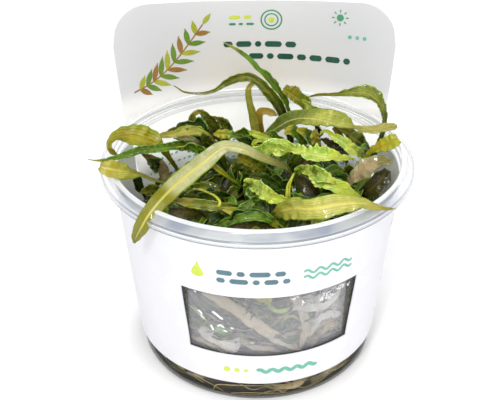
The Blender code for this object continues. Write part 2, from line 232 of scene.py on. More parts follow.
def laid_grid(name, columns, rows, place):
    """A primitive grid laid where place(column, row) says, counted from 0."""
    bpy.ops.object.select_all(action="DESELECT")
    bpy.ops.mesh.primitive_grid_add(x_subdivisions=columns, y_subdivisions=rows, size=1.0)
    piece = bpy.context.active_object
    piece.name = name
    piece.data.name = name
    for vert in piece.data.vertices:
        column = round((vert.co.x + 0.5) * columns)
        row = round((vert.co.y + 0.5) * rows)
        vert.co = place(column, row) * MM
    return piece


def join(name, pieces):
    bpy.ops.object.select_all(action="DESELECT")
    for piece in pieces:
        piece.select_set(True)
    bpy.context.view_layer.objects.active = pieces[0]
    bpy.ops.object.join()
    pieces[0].name = name
    pieces[0].data.name = name
    return pieces[0]


def finish_piece(piece, material, slot, node=None):
    """Gives a piece its material and its body, shades it smooth and hides the imported node it stands for;
    slot is not used.
    """
    if material:
        piece.data.materials.clear()
        piece.data.materials.append(material)
    piece.data.shade_smooth()
    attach(piece, "root")
    if node:
        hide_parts(node)


# Shader helpers

def add(tree, kind, **settings):
    made = tree.nodes.new("ShaderNode" + kind)
    for name, value in settings.items():
        setattr(made, name, value)
    return made


def feed(tree, socket, value):
    """Links a socket, or sets its own value."""
    if isinstance(value, bpy.types.NodeSocket):
        tree.links.new(value, socket)
    elif isinstance(value, tuple) and len(value) == 3 and socket.type == "RGBA":
        socket.default_value = (*value, 1.0)
    else:
        socket.default_value = value


def calc(tree, operation, *values):
    made = add(tree, "Math", operation=operation)
    for socket, value in zip(made.inputs, values):
        feed(tree, socket, value)
    return made.outputs[0]


def blend(tree, share, first, second, mode="MIX"):
    made = add(tree, "Mix", data_type="RGBA", blend_type=mode)
    feed(tree, made.inputs["Factor"], share)
    feed(tree, made.inputs[6], first)
    feed(tree, made.inputs[7], second)
    return made.outputs[2]


def between(tree, value, low, high):
    """0 below low, 1 above high, smooth in between."""
    made = add(tree, "MapRange", interpolation_type="SMOOTHSTEP")
    feed(tree, made.inputs["Value"], value)
    feed(tree, made.inputs["From Min"], low)
    feed(tree, made.inputs["From Max"], high)
    return made.outputs["Result"]


def below(tree, value, low, high):
    """1 below low, 0 above high, smooth in between."""
    return calc(tree, "SUBTRACT", 1.0, between(tree, value, low, high))


def object_axes(tree):
    """X, Y and Z of a point of the piece, in metres."""
    place = add(tree, "TexCoord")
    parts = add(tree, "SeparateXYZ")
    feed(tree, parts.inputs[0], place.outputs["Object"])
    return parts.outputs


def height_share(tree, low, high):
    """0 below a height in millimetres, 1 above another."""
    return between(tree, object_axes(tree)["Z"], low * MM, high * MM)


def grain(tree, scale, detail=2.0, distortion=0.0):
    """Noise fixed to the piece; scale is in bumps per metre."""
    place = add(tree, "TexCoord")
    made = add(tree, "TexNoise")
    feed(tree, made.inputs["Vector"], place.outputs["Object"])
    feed(tree, made.inputs["Scale"], scale)
    feed(tree, made.inputs["Detail"], detail)
    feed(tree, made.inputs["Distortion"], distortion)
    return made.outputs["Fac"]


def new_group(name, inputs, outputs):
    """A shader node group; inputs are (name, kind, default) and outputs (name, kind)."""
    tree = bpy.data.node_groups.new(name, "ShaderNodeTree")
    for label, kind, value in inputs:
        socket = tree.interface.new_socket(label, in_out="INPUT", socket_type="NodeSocket" + kind)
        socket.default_value = value
    for label, kind in outputs:
        tree.interface.new_socket(label, in_out="OUTPUT", socket_type="NodeSocket" + kind)
    return tree, tree.nodes.new("NodeGroupInput"), tree.nodes.new("NodeGroupOutput")


def use_group(tree, group, **values):
    """A group in a material, with its inputs set by their names."""
    made = add(tree, "Group")
    made.node_tree = group
    for label, value in values.items():
        feed(tree, made.inputs[label.replace("_", " ").title()], value)
    return made


def set_sockets(node, **values):
    """Sets a node's own sockets, which nothing is linked to."""
    for label, value in values.items():
        node.inputs[label.replace("_", " ")].default_value = value


def new_material(name):
    material = bpy.data.materials.new(name)
    material.use_nodes = True
    tree = material.node_tree
    return material, tree, tree.nodes["Principled BSDF"], tree.nodes["Material Output"]


def bump(tree, shader, height, distance):
    """Relief from a height mask, up to a distance in mm."""
    made = add(tree, "Bump")
    set_sockets(made, Distance=distance * MM)
    feed(tree, made.inputs["Height"], height)
    feed(tree, shader.inputs["Normal"], made.outputs["Normal"])


def mix_shaders(tree, output, share, first, second):
    """Mixes two shaders into the material's surface."""
    mixed = add(tree, "MixShader")
    feed(tree, mixed.inputs["Fac"], share)
    feed(tree, mixed.inputs[1], first.outputs["BSDF"])
    feed(tree, mixed.inputs[2], second.outputs["BSDF"])
    feed(tree, output.inputs["Surface"], mixed.outputs["Shader"])


# Shared effects

def make_leaf_group():
    """Colour, roughness and relief of a blade, read from its own UV map: across, then along."""
    grey = (0.5, 0.5, 0.5, 1.0)
    tones = [(tone, "Color", grey) for tone in ("Blade", "Shade", "Rib", "Rim", "Tip", "Base")]
    measures = [("Base To", "Float", 0.4), ("Rib Width", "Float", 0.16), ("Veins", "Float", 14.0),
                ("Vein Strength", "Float", 0.3), ("Mottle", "Float", 0.7), ("Tip From", "Float", 0.8)]
    tree, start, end = new_group("leaf_blade", tones + measures, [
        ("Color", "Color"), ("Roughness", "Float"), ("Height", "Float")])
    value = start.outputs
    spot = add(tree, "UVMap")
    parts = add(tree, "SeparateXYZ")
    feed(tree, parts.inputs[0], spot.outputs["UV"])
    across, along = parts.outputs["X"], parts.outputs["Y"]
    aside = calc(tree, "ABSOLUTE", calc(tree, "MULTIPLY_ADD", across, 2.0, -1.0))
    wander = grain(tree, 170.0, 3.0, 0.4)
    speckle = grain(tree, 900.0, 2.0)
    rib = below(tree, aside, calc(tree, "MULTIPLY", value["Rib Width"], 0.35), value["Rib Width"])
    phase = calc(tree, "MULTIPLY_ADD", along, value["Veins"], calc(tree, "MULTIPLY", aside, -1.1))
    phase = calc(tree, "MULTIPLY_ADD", wander, 0.6, phase)
    vein = between(tree, calc(tree, "SINE", calc(tree, "MULTIPLY", phase, 2.0 * math.pi)), 0.55, 1.0)
    lines = calc(tree, "MULTIPLY_ADD", across, 58.0, calc(tree, "MULTIPLY", wander, 5.0))
    streak = between(tree, calc(tree, "SINE", lines), -0.2, 1.0)
    blotch = calc(tree, "MULTIPLY", between(tree, wander, 0.38, 0.62), value["Mottle"])
    vein_share = calc(tree, "MULTIPLY", value["Vein Strength"], 0.6)
    base_from = calc(tree, "SUBTRACT", value["Base To"], 0.2)
    tip_to = calc(tree, "ADD", value["Tip From"], 0.05)
    colour = blend(tree, blotch, value["Blade"], value["Shade"])
    for mask, strength, tone in (
            (between(tree, speckle, 0.45, 0.72), 0.5, "Shade"),
            (streak, 0.36, "Shade"),
            (below(tree, aside, 0.0, 0.7), 0.3, "Rib"),
            (vein, vein_share, "Rib"),
            # Darker towards the base: partly the leaf's own colour, partly painted shade where it comes up
            # out of the mass.
            (below(tree, along, base_from, value["Base To"]), 0.8, "Base"),
            (between(tree, aside, 0.84, 0.94), 0.95, "Rim"),
            (between(tree, along, value["Tip From"], tip_to), 1.0, "Tip"),
            (rib, 0.75, "Rib")):
        colour = blend(tree, calc(tree, "MULTIPLY", mask, strength), colour, value[tone])
    height = calc(tree, "MULTIPLY", speckle, 0.5)
    for mask, strength in ((vein, value["Vein Strength"]), (streak, 0.22), (rib, 0.7)):
        height = calc(tree, "MULTIPLY_ADD", mask, strength, height)
    feed(tree, end.inputs["Color"], colour)
    feed(tree, end.inputs["Roughness"], calc(tree, "MULTIPLY_ADD", wander, 0.34, 0.06))
    feed(tree, end.inputs["Height"], height)
    return tree


def make_surface_group():
    """Fine unevenness of card, ink, plastic and roots: two sizes of noise."""
    tree, start, end = new_group("fine_surface", [
        ("Scale", "Float", 900.0), ("Rough Low", "Float", 0.3), ("Rough High", "Float", 0.5),
    ], [("Mask", "Float"), ("Roughness", "Float"), ("Height", "Float")])
    value = start.outputs
    fine = grain(tree, value["Scale"], 3.0)
    broad = grain(tree, calc(tree, "MULTIPLY", value["Scale"], 0.11), 2.0)
    mask = calc(tree, "MULTIPLY_ADD", fine, 0.5, calc(tree, "MULTIPLY", broad, 0.5))
    spread = calc(tree, "SUBTRACT", value["Rough High"], value["Rough Low"])
    feed(tree, end.inputs["Mask"], mask)
    feed(tree, end.inputs["Roughness"], calc(tree, "MULTIPLY_ADD", mask, spread, value["Rough Low"]))
    feed(tree, end.inputs["Height"], fine)
    return tree


LEAF_GROUP = make_leaf_group()
SURFACE_GROUP = make_surface_group()


# Materials

# Each kind of leaf: the colours of blade, shade, rib, rim, tip and base, then its own values; the darker base
# is partly painted shade.
LEAF_LOOKS = {
    "strap": ((220, 220, 166), (182, 186, 122), (246, 236, 124),
              (156, 182, 46), (148, 146, 12), (144, 138, 16),
              {"coat": 0.6, "tip_from": 0.74, "base_to": 0.42, "rib_width": 0.22, "veins": 9.0,
               "vein_strength": 0.05}),
    "pale": ((222, 220, 104), (176, 178, 60), (246, 234, 116),
             (166, 184, 44), (196, 186, 64), (118, 132, 30),
             {"tip_from": 0.84, "rib_width": 0.22, "veins": 8.0, "vein_strength": 0.1}),
    "bright": ((226, 244, 104), (122, 184, 32), (252, 242, 120),
               (234, 244, 110), (200, 216, 56), (112, 160, 28),
               {"glow": 0.22, "rib_width": 0.14, "vein_strength": 0.3}),
    "green": ((112, 172, 30), (38, 86, 12), (212, 216, 70),
              (146, 192, 50), (206, 200, 60), (48, 92, 14),
              {"rib_width": 0.12, "vein_strength": 0.3, "tip_from": 0.86, "base_to": 0.42}),
    "olive": ((136, 152, 26), (62, 82, 11), (220, 214, 74),
              (176, 198, 44), (162, 156, 30), (48, 72, 11),
              {"rib_width": 0.12, "vein_strength": 0.35, "base_to": 0.56}),
    "moss": ((180, 176, 38), (152, 142, 28), (206, 190, 60),
             (140, 180, 38), (172, 168, 40), (104, 112, 24),
             {"coat": 0.4, "rib_width": 0.12, "veins": 7.0, "base_to": 0.3}),
    "amber": ((218, 214, 46), (192, 178, 32), (226, 196, 60),
              (140, 184, 36), (190, 190, 44), (104, 116, 24),
              {"coat": 0.4, "rib_width": 0.12, "veins": 7.0, "base_to": 0.3}),
    "veined": ((228, 228, 96), (140, 156, 34), (242, 236, 136),
               (150, 172, 40), (198, 192, 88), (84, 110, 22),
               {"rib_width": 0.14, "veins": 26.0, "vein_strength": 0.6, "tip_from": 0.76, "base_to": 0.62}),
    "dark": ((54, 90, 18), (15, 32, 6), (122, 146, 36),
             (102, 150, 34), (92, 102, 24), (14, 28, 6),
             {"rib_width": 0.1, "coat": 0.3}),
    "grey": ((216, 202, 160), (156, 144, 104), (236, 196, 140),
             (160, 166, 72), (156, 148, 82), (88, 84, 44),
             {"rib_width": 0.13, "veins": 12.0}),
    "brown": ((90, 86, 32), (40, 43, 14), (138, 124, 60),
              (90, 98, 32), (78, 72, 25), (26, 27, 9),
              {"rib_width": 0.12, "coat": 0.4}),
    "tan": ((228, 210, 178), (184, 168, 136), (238, 226, 198),
            (180, 168, 118), (206, 190, 152), (186, 172, 140),
            {"rib_width": 0.1, "veins": 5.0}),
    "orange": ((214, 182, 62), (176, 126, 38), (230, 200, 84),
               (218, 196, 62), (206, 176, 60), (150, 100, 32),
               {"rib_width": 0.12, "veins": 7.0}),
    "silver": ((242, 238, 231), (212, 205, 198), (238, 230, 220),
               (190, 184, 172), (222, 216, 206), (188, 180, 170),
               {"rib_width": 0.1, "veins": 5.0}),
    "stalk": ((255, 252, 84), (244, 240, 70), (255, 252, 110),
              (240, 244, 76), (244, 240, 80), (200, 206, 50),
              {"glow": 0.04, "rib_width": 0.3, "veins": 3.0}),
}


def leaf_material(name, blade, shade, rib, rim, tip, base, extra):
    """A moist leaf: satin skin over flesh that glows when lit from behind."""
    extra = dict(extra)
    coat = extra.pop("coat", 0.9)
    glow_share = extra.pop("glow", 0.32)
    material, tree, shader, output = new_material(name + "_leaf_skin")
    pattern = use_group(tree, LEAF_GROUP, blade=srgb(*blade), shade=srgb(*shade), rib=srgb(*rib),
                        rim=srgb(*rim), tip=srgb(*tip), base=srgb(*base), **extra)
    feed(tree, shader.inputs["Base Color"], pattern.outputs["Color"])
    feed(tree, shader.inputs["Roughness"], pattern.outputs["Roughness"])
    set_sockets(shader, Specular_IOR_Level=0.55, Coat_Weight=coat, Coat_Roughness=0.08)
    bump(tree, shader, pattern.outputs["Height"], 0.5)
    glow = add(tree, "BsdfTranslucent")
    warmed = blend(tree, 1.0, pattern.outputs["Color"], (1.0, 0.98, 0.7), "MULTIPLY")
    feed(tree, glow.inputs["Color"], warmed)
    mix_shaders(tree, output, glow_share, shader, glow)
    return material


def fine_surface(tree, shader, scale, low, high, relief=0.0):
    """Gives a shader its fine roughness and relief, and returns the mask of its unevenness."""
    surface = use_group(tree, SURFACE_GROUP, scale=scale, rough_low=low, rough_high=high)
    feed(tree, shader.inputs["Roughness"], surface.outputs["Roughness"])
    if relief:
        bump(tree, shader, surface.outputs["Height"], relief)
    return surface.outputs["Mask"]


def surface_material(name, colour, other, scale, low, high, relief):
    """An opaque material whose colour, roughness and relief vary finely."""
    material, tree, shader, _ = new_material(name)
    share = between(tree, fine_surface(tree, shader, scale, low, high, relief), 0.35, 0.65)
    feed(tree, shader.inputs["Base Color"], blend(tree, share, srgb(*colour), srgb(*other)))
    return material


def lets_lamps_through(tree, shader, output, tint):
    """Mixes the shader with clear for the lamps' rays, so that it casts no shadow."""
    clear = add(tree, "BsdfTransparent")
    set_sockets(clear, Color=(*tint, 1.0))
    path = add(tree, "LightPath")
    mix_shaders(tree, output, path.outputs["Is Shadow Ray"], shader, clear)


def zone(tree, start, stop):
    """A mask of the heights from one fade, (low, high) in mm, up to the next."""
    return calc(tree, "SUBTRACT", height_share(tree, *start), height_share(tree, *stop))


def mostly_front(tree, mask, front, share):
    """The mask at full strength in front and at a share of it elsewhere."""
    return calc(tree, "MULTIPLY", mask, calc(tree, "MULTIPLY_ADD", front, 1.0 - share, share))


def plastic_material():
    """Thin clear plastic with painted light on the rim: a painted highlight on the lip, milky greys on the
    slope and skirt that are partly painted reflection, painted shade lines at the flange's edge and under the
    hem, and painted shade in the foot.
    """
    material, tree, shader, output = new_material("clear_cup_plastic")
    uneven = fine_surface(tree, shader, 260.0, 0.05, 0.12, 0.01)
    front = below(tree, object_axes(tree)["Y"], -37.0 * MM, -15.0 * MM)
    # Painted bands of the rim, at full strength in front: a painted highlight on the lip, painted shade lines
    # at the flange's edge and the hem, and milky greys on the slope and skirt that are partly painted
    # reflection.
    lip_highlight = height_share(tree, *LIP_FROM)
    slope = mostly_front(tree, zone(tree, SLOPE_FROM, LIP_FROM), front, 0.1)
    edge = mostly_front(tree, zone(tree, EDGE_FROM, SLOPE_FROM), front, 0.6)
    skirt = mostly_front(tree, zone(tree, SKIRT_FROM, EDGE_FROM), front, 0.1)
    hem_shadow = mostly_front(tree, zone(tree, HEM_FROM, SKIRT_FROM), front, 0.6)
    # Painted shade of the foot: below the band the plastic is denser and dark brown, so the foot reads dark
    # out to its outline.
    foot = calc(tree, "SUBTRACT", 1.0, height_share(tree, *FOOT_TO))
    foot_shade = calc(tree, "SUBTRACT", 1.0, height_share(tree, *BELOW_BAND_TO))
    cover = calc(tree, "MULTIPLY_ADD", uneven, 0.02, 0.02)
    for mask, share in ((lip_highlight, 0.6), (slope, 0.62), (edge, 0.72), (skirt, 0.36), (hem_shadow, 0.6), (foot, 0.5)):
        cover = calc(tree, "MULTIPLY_ADD", mask, share, cover)
    facing = add(tree, "LayerWeight")
    set_sockets(facing, Blend=0.35)
    aside = calc(tree, "POWER", facing.outputs["Facing"], 2.0)
    feed(tree, shader.inputs["Alpha"], calc(tree, "MULTIPLY_ADD", aside, 0.1, cover))
    patches = between(tree, grain(tree, 70.0, 2.0), 0.4, 0.6)
    milky = blend(tree, patches, srgb(148, 156, 173), srgb(190, 193, 194))
    # The lip's near-white is a painted highlight; the slope's milky grey is partly the plastic's own and
    # partly painted reflection.
    colour = blend(tree, slope, srgb(244, 246, 248), milky)
    # The edge and hem get dark painted shade lines, the skirt a light grey, and the foot below the band its
    # painted shade.
    for mask, tone in ((edge, (124, 129, 135)), (skirt, (226, 229, 233)), (hem_shadow, (108, 112, 116)),
                       (foot_shade, (66, 60, 48))):
        colour = blend(tree, mask, colour, srgb(*tone))
    feed(tree, shader.inputs["Base Color"], colour)
    set_sockets(shader, IOR=1.6)
    lets_lamps_through(tree, shader, output, (0.96, 0.97, 0.97))
    return material


def film_material(name, colour, alpha, swing, roughness):
    """A thin film whose cover varies: milky moisture, and the white of the painted glints."""
    material, tree, shader, output = new_material(name)
    set_sockets(shader, Base_Color=(*srgb(*colour), 1.0))
    share = between(tree, fine_surface(tree, shader, 500.0, roughness, roughness + 0.2), 0.35, 0.65)
    feed(tree, shader.inputs["Alpha"], calc(tree, "MULTIPLY_ADD", share, swing, alpha))
    lets_lamps_through(tree, shader, output, (1.0, 1.0, 1.0))
    return material


def water_material():
    """Clear water of the drops on the wall."""
    material, tree, shader, _ = new_material("clear_droplet")
    fine_surface(tree, shader, 400.0, 0.0, 0.03)
    set_sockets(shader, Base_Color=(0.98, 0.99, 1.0, 1.0), Transmission_Weight=1.0, IOR=1.33)
    return material


def inner_card_material():
    """The card's inner side, with painted light: a white lighter than the outer card's, to offset the shade
    inside the cup, and on the tall panel a printed light grey that turns warmer in the middle and low down,
    painted lighter there to offset the shade of the leaves and cup.
    """
    material, tree, shader, _ = new_material("inner_card")
    uneven = fine_surface(tree, shader, 1200.0, 0.34, 0.46, 0.006)
    side, _, height = object_axes(tree)
    panel = between(tree, height, 66.0 * MM, 76.0 * MM)
    middle = below(tree, calc(tree, "ABSOLUTE", side), 4.0 * MM, 42.0 * MM)
    low = below(tree, height, 68.0 * MM, 98.0 * MM)
    # Printed light grey of the tall panel, turning warmer in the middle and low down, where it is also
    # painted lighter to offset the shade of the leaves and cup.
    grey = blend(tree, low, srgb(198, 198, 200), srgb(209, 209, 210))
    warm_lift = blend(tree, low, srgb(217, 217, 217), srgb(232, 225, 214))
    # The white inside the cup is lighter than the outer card's, painted light to offset the shade inside the
    # cup.
    lifted_white = blend(tree, between(tree, uneven, 0.35, 0.65), srgb(252, 250, 246), srgb(254, 253, 251))
    colour = blend(tree, panel, lifted_white, blend(tree, middle, grey, warm_lift))
    feed(tree, shader.inputs["Base Color"], colour)
    return material


# The sleeve's surface

def band_radius(z):
    """Outer radius of the band, carried on above and below it."""
    slope = (BAND_TOP_RADIUS - BAND_BOTTOM_RADIUS) / (BAND_TOP_Z - BAND_BOTTOM_Z)
    return BAND_BOTTOM_RADIUS + slope * (z - BAND_BOTTOM_Z)


def cup_outer(z):
    return band_radius(z) - CARD - CARD_TO_CUP


def cup_inner(z):
    return cup_outer(z) - WALL


def ring_point(degrees, radius, z):
    """A point at an angle from the front, positive to the right."""
    turn = math.radians(degrees)
    return Vector((math.sin(turn) * radius, -math.cos(turn) * radius, z))


def header_point(u, z, inset=0.0):
    """A point of the header, u along the card from its middle, inset towards the front."""
    rise = smoothstep((z - HEADER_SPLIT_Z) / (HEADER_CLEAR_Z - HEADER_SPLIT_Z))
    low = 1.0 / band_radius(min(z, BAND_TOP_Z))
    up = (z - HEADER_CLEAR_Z) / (HEADER_TOP_Z - HEADER_CLEAR_Z)
    curve = lerp(low, lerp(HEADER_CURVE_LOW, HEADER_CURVE_TOP, max(0.0, up)), rise)
    free_y = HEADER_BACK_Y + HEADER_LEAN * (z - HEADER_BACK_Z)
    back_y = lerp(band_radius(min(z, BAND_TOP_Z)), free_y, rise)
    turn = u * curve
    out = 1.0 / curve - inset
    return Vector((math.sin(turn) * out, back_y - 1.0 / curve + math.cos(turn) * out, z))


def header_top(u):
    past = min(HEADER_CORNER, max(0.0, abs(u) - (HEADER_WIDTH / 2 - HEADER_CORNER)))
    return HEADER_TOP_Z - HEADER_CORNER + math.sqrt(HEADER_CORNER**2 - past**2)


def on_band(side, z, lift):
    """A point on the band's face, side along it from the front."""
    radius = band_radius(z)
    return ring_point(math.degrees(side / radius), radius + lift, z)


def on_header(side, z, lift):
    """A point on the header's front face."""
    return header_point(side, z, CARD + lift)


def inside_band(side, z, lift):
    """A point on the band's inner face at the back, side positive to the right."""
    radius = band_radius(z)
    return ring_point(180.0 - math.degrees(side / radius), radius - CARD - lift, z)


# Sleeve

HEADER_COLUMNS = 84
SIDE_COLUMNS = 40
WINDOW_COLUMNS = 64
SLIT_COLUMNS = 2
LOW_ROWS = [(BAND_BOTTOM_Z, WINDOW_BOTTOM_Z, 8), (WINDOW_BOTTOM_Z, WINDOW_TOP_Z, 14),
            (WINDOW_TOP_Z, HEADER_SPLIT_Z, 4)]
BAND_ROWS_ABOVE = 12
HEADER_ROWS_ABOVE = 44


def sleeve_columns():
    """Angles from the back of every column of the flat card, and the column of each mark."""
    half = math.degrees(HEADER_WIDTH / 2 / band_radius(HEADER_SPLIT_Z))
    slit = math.degrees(SLIT / band_radius(HEADER_SPLIT_Z))
    centre = 180.0 - WINDOW_CENTRE_DEG
    marks = [-half, half, half + slit, centre - WINDOW_HALF_TOP_DEG, centre + WINDOW_HALF_TOP_DEG,
             360.0 - half - slit, 360.0 - half]
    counts = [HEADER_COLUMNS, SLIT_COLUMNS, SIDE_COLUMNS, WINDOW_COLUMNS, SIDE_COLUMNS, SLIT_COLUMNS]
    angles, ends = [], [0]
    for start, stop, count in zip(marks, marks[1:], counts):
        angles += [lerp(start, stop, i / count) for i in range(count)]
        ends.append(ends[-1] + count)
    return angles + [marks[-1]], ends


def build_sleeve(outer, inner):
    """The card is cut flat, with its window and slits, and then rolled round the cup."""
    angles, ends = sleeve_columns()
    columns = len(angles) - 1
    low_z = []
    for start, stop, count in LOW_ROWS:
        low_z += [lerp(start, stop, i / count) for i in range(count)]
    window_rows = (LOW_ROWS[0][2], LOW_ROWS[0][2] + LOW_ROWS[1][2])
    split_row = len(low_z)
    rows = split_row + HEADER_ROWS_ABOVE
    flat = laid_grid("sleeve", columns, rows, lambda c, r: Vector((c, r, 0.0)))
    remove_card(flat, ends, window_rows, split_row)
    for vert in flat.data.vertices:
        column, row = round(vert.co.x / MM), round(vert.co.y / MM)
        vert.co = rolled(column, row, angles, ends, low_z, split_row) * MM
    edit_whole(flat, merging(0.01))
    apply_modifier(flat, "SOLIDIFY", thickness=CARD * MM, offset=1.0)
    flat.data.materials.append(outer)
    flat.data.materials.append(inner)
    for face in flat.data.polygons:
        if face.normal.x * face.center.x + face.normal.y * face.center.y < 0.0:
            face.material_index = 1
    finish_piece(flat, None, "white_card", "card_sleeve")
    smooth_below(flat, 35.0)


def remove_card(flat, ends, window_rows, split_row):
    """Deletes the window, the slits and the band's missing top from the flat card."""
    mesh = flat.data
    for part in (mesh.vertices, mesh.edges):
        part.foreach_set("select", [False] * len(part))
    for face in mesh.polygons:
        column, row = face.center.x / MM, face.center.y / MM
        window = ends[3] < column < ends[4] and window_rows[0] < row < window_rows[1]
        slit = row > split_row and (ends[1] < column < ends[2] or column > ends[5])
        above = column > ends[1] and row > split_row + BAND_ROWS_ABOVE
        face.select = window or slit or above
    select_only(flat)
    bpy.ops.object.mode_set(mode="EDIT")
    bpy.ops.mesh.select_mode(type="FACE")
    bpy.ops.mesh.delete(type="FACE")
    bpy.ops.object.mode_set(mode="OBJECT")


def rolled(column, row, angles, ends, low_z, split_row):
    """Where a corner of the flat card goes once it is rolled."""
    angle = angles[column]
    if row < split_row:
        z = low_z[row]
        if ends[3] <= column <= ends[4]:
            middle_z = 0.5 * (WINDOW_BOTTOM_Z + WINDOW_TOP_Z)
            t = smoothstep(0.5 + (z - middle_z) / (WINDOW_TOP_Z - WINDOW_BOTTOM_Z))
            centre = 180.0 - WINDOW_CENTRE_DEG
            angle = centre + (angle - centre) * lerp(WINDOW_HALF_BOTTOM_DEG / WINDOW_HALF_TOP_DEG, 1.0, t)
        return ring_point(180.0 - angle, band_radius(z), z)
    above = row - split_row
    if column <= ends[1]:
        u = math.radians(angle) * band_radius(HEADER_SPLIT_Z)
        return header_point(u, lerp(HEADER_SPLIT_Z, header_top(u), above / HEADER_ROWS_ABOVE))
    z = lerp(HEADER_SPLIT_Z, BAND_TOP_Z, min(1.0, above / BAND_ROWS_ABOVE))
    return ring_point(180.0 - angle, band_radius(z), z)


# Print: generic marks in thin ink, each a stroke on the card

def stroke(place, points, width, round_ends=True, columns=2, step=0.5):
    """A strip of ink along (side, z) points in mm; width may be a function of 0 to 1."""
    spine = [Vector(p).to_3d() for p in points]
    walked = [0.0]
    for a, b in zip(spine, spine[1:]):
        walked.append(walked[-1] + (b - a).length)
    length = walked[-1]
    rows = max(6, round(length / step))

    def spot(t):
        target = length * t
        index = max(i for i in range(len(walked) - 1) if walked[i] <= target + 1e-6)
        share = (target - walked[index]) / (walked[index + 1] - walked[index])
        return spine[index].lerp(spine[index + 1], share)

    def half(t):
        reach = (width(t) if callable(width) else width) / 2
        end = min(t, 1.0 - t) * length
        if not round_ends or end >= reach:
            return reach
        return math.sqrt(max(0.0, reach**2 - (reach - end) ** 2))

    def lay(column, row):
        t = row / rows
        here = spot(t)
        ahead = (spot(min(1.0, t + 0.01)) - spot(max(0.0, t - 0.01))).normalized()
        aside = Vector((ahead.y, -ahead.x, 0.0)) * half(t) * (2.0 * column / columns - 1.0)
        return place(here.x + aside.x, here.y + aside.y, INK)

    return laid_grid("stroke", columns, rows, lay)


def ring(place, side, z, radius, width):
    points = []
    for i in range(41):
        turn = 2.0 * math.pi * i / 40
        points.append((side + radius * math.cos(turn), z + radius * math.sin(turn)))
    return stroke(place, points, width, round_ends=False)


def dot(place, side, z, radius):
    return stroke(place, [(side - radius, z), (side + radius, z)], 2.0 * radius, columns=4, step=0.2)


def dashes(place, start, z, lengths, gap, height):
    """A row of rounded bars."""
    made = []
    for length in lengths:
        made.append(stroke(place, [(start, z), (start + length, z)], height))
        start += length + gap
    return made


def wave(place, start, stop, z, swing, turns, width):
    points = []
    steps = 16 * turns
    for i in range(steps + 1):
        t = i / steps
        points.append((lerp(start, stop, t), z + swing * math.sin(2.0 * math.pi * turns * t)))
    return stroke(place, points, width)


def ink_piece(name, strokes, colour):
    """Joins strokes of one colour and gives them the thickness of ink."""
    piece = join(name, strokes)
    apply_modifier(piece, "SOLIDIFY", thickness=0.6 * INK * MM, offset=1.0)
    edit_whole(piece, facing_out())
    light = tuple(min(255, c + 14) for c in colour)
    ink = surface_material(name + "_print", colour, light, 1500.0, 0.35, 0.5, 0.004)
    finish_piece(piece, ink, "white_card")
    smooth_below(piece, 30.0)


def leaflet_print(side, z, lean, length, width):
    """One oval leaflet of the printed sprig, its foot at side and z."""
    turn = math.radians(lean)
    tip = (side + length * math.sin(turn), z + length * math.cos(turn))

    def swell(t):
        return width * math.sin(math.pi * min(0.97, 0.06 + t)) ** 0.8 + 0.1

    return stroke(on_header, [(side, z), tip], swell, round_ends=False, columns=4)


def drop_print(side, top_z, length):
    """A drop, its point up and its foot round."""
    def swell(t):
        foot = 1.0 if t < 0.8 else math.sqrt(max(0.0, 1.0 - ((t - 0.8) / 0.2) ** 2))
        return 0.15 + 3.8 * smoothstep(t * 1.25) * foot

    return stroke(on_band, [(side, top_z), (side, top_z - length)], swell, round_ends=False, columns=4,
                  step=0.15)


def sun_print(place, side, z, reach):
    """A dot with eight short rays."""
    made = [dot(place, side, z, 0.42 * reach)]
    for i in range(8):
        turn = math.radians(45.0 * i)
        ray = [(side + share * reach * math.sin(turn), z + share * reach * math.cos(turn))
               for share in (0.62, 1.0)]
        made.append(stroke(place, ray, 0.45))
    return made


def build_sprig():
    """A curved sprig with pairs of oval leaflets, in three tones."""
    tones = {"sprig_olive": ((158, 160, 48), []), "sprig_green": ((96, 128, 40), []),
             "sprig_brown": ((142, 104, 46), [])}
    stem = []
    for i in range(21):
        t = i / 20
        stem.append((-45.0 + 27.0 * t, 73.6 + 22.0 * t - 5.0 * math.sin(math.pi * t)))
    for i in range(1, 10):
        side, z = stem[2 * i]
        before, after = stem[2 * i - 1], stem[2 * i + 1]
        heading = math.degrees(math.atan2(after[0] - before[0], after[1] - before[1]))
        length = 3.6 + 3.6 * math.sin(math.pi * (i / 10)) ** 0.7
        for hand in (-1, 1):
            kind = ("sprig_olive", "sprig_green", "sprig_brown", "sprig_green")[(i + hand) % 4]
            tones[kind][1].append(leaflet_print(side, z, heading + 48.0 * hand, length, 1.9))
    tones["sprig_olive"][1].append(leaflet_print(*stem[-1], 36.0, 4.6, 1.7))
    tones["sprig_brown"][1].append(stroke(on_header, stem, 0.5))
    for name, (colour, strokes) in tones.items():
        ink_piece(name, strokes, colour)


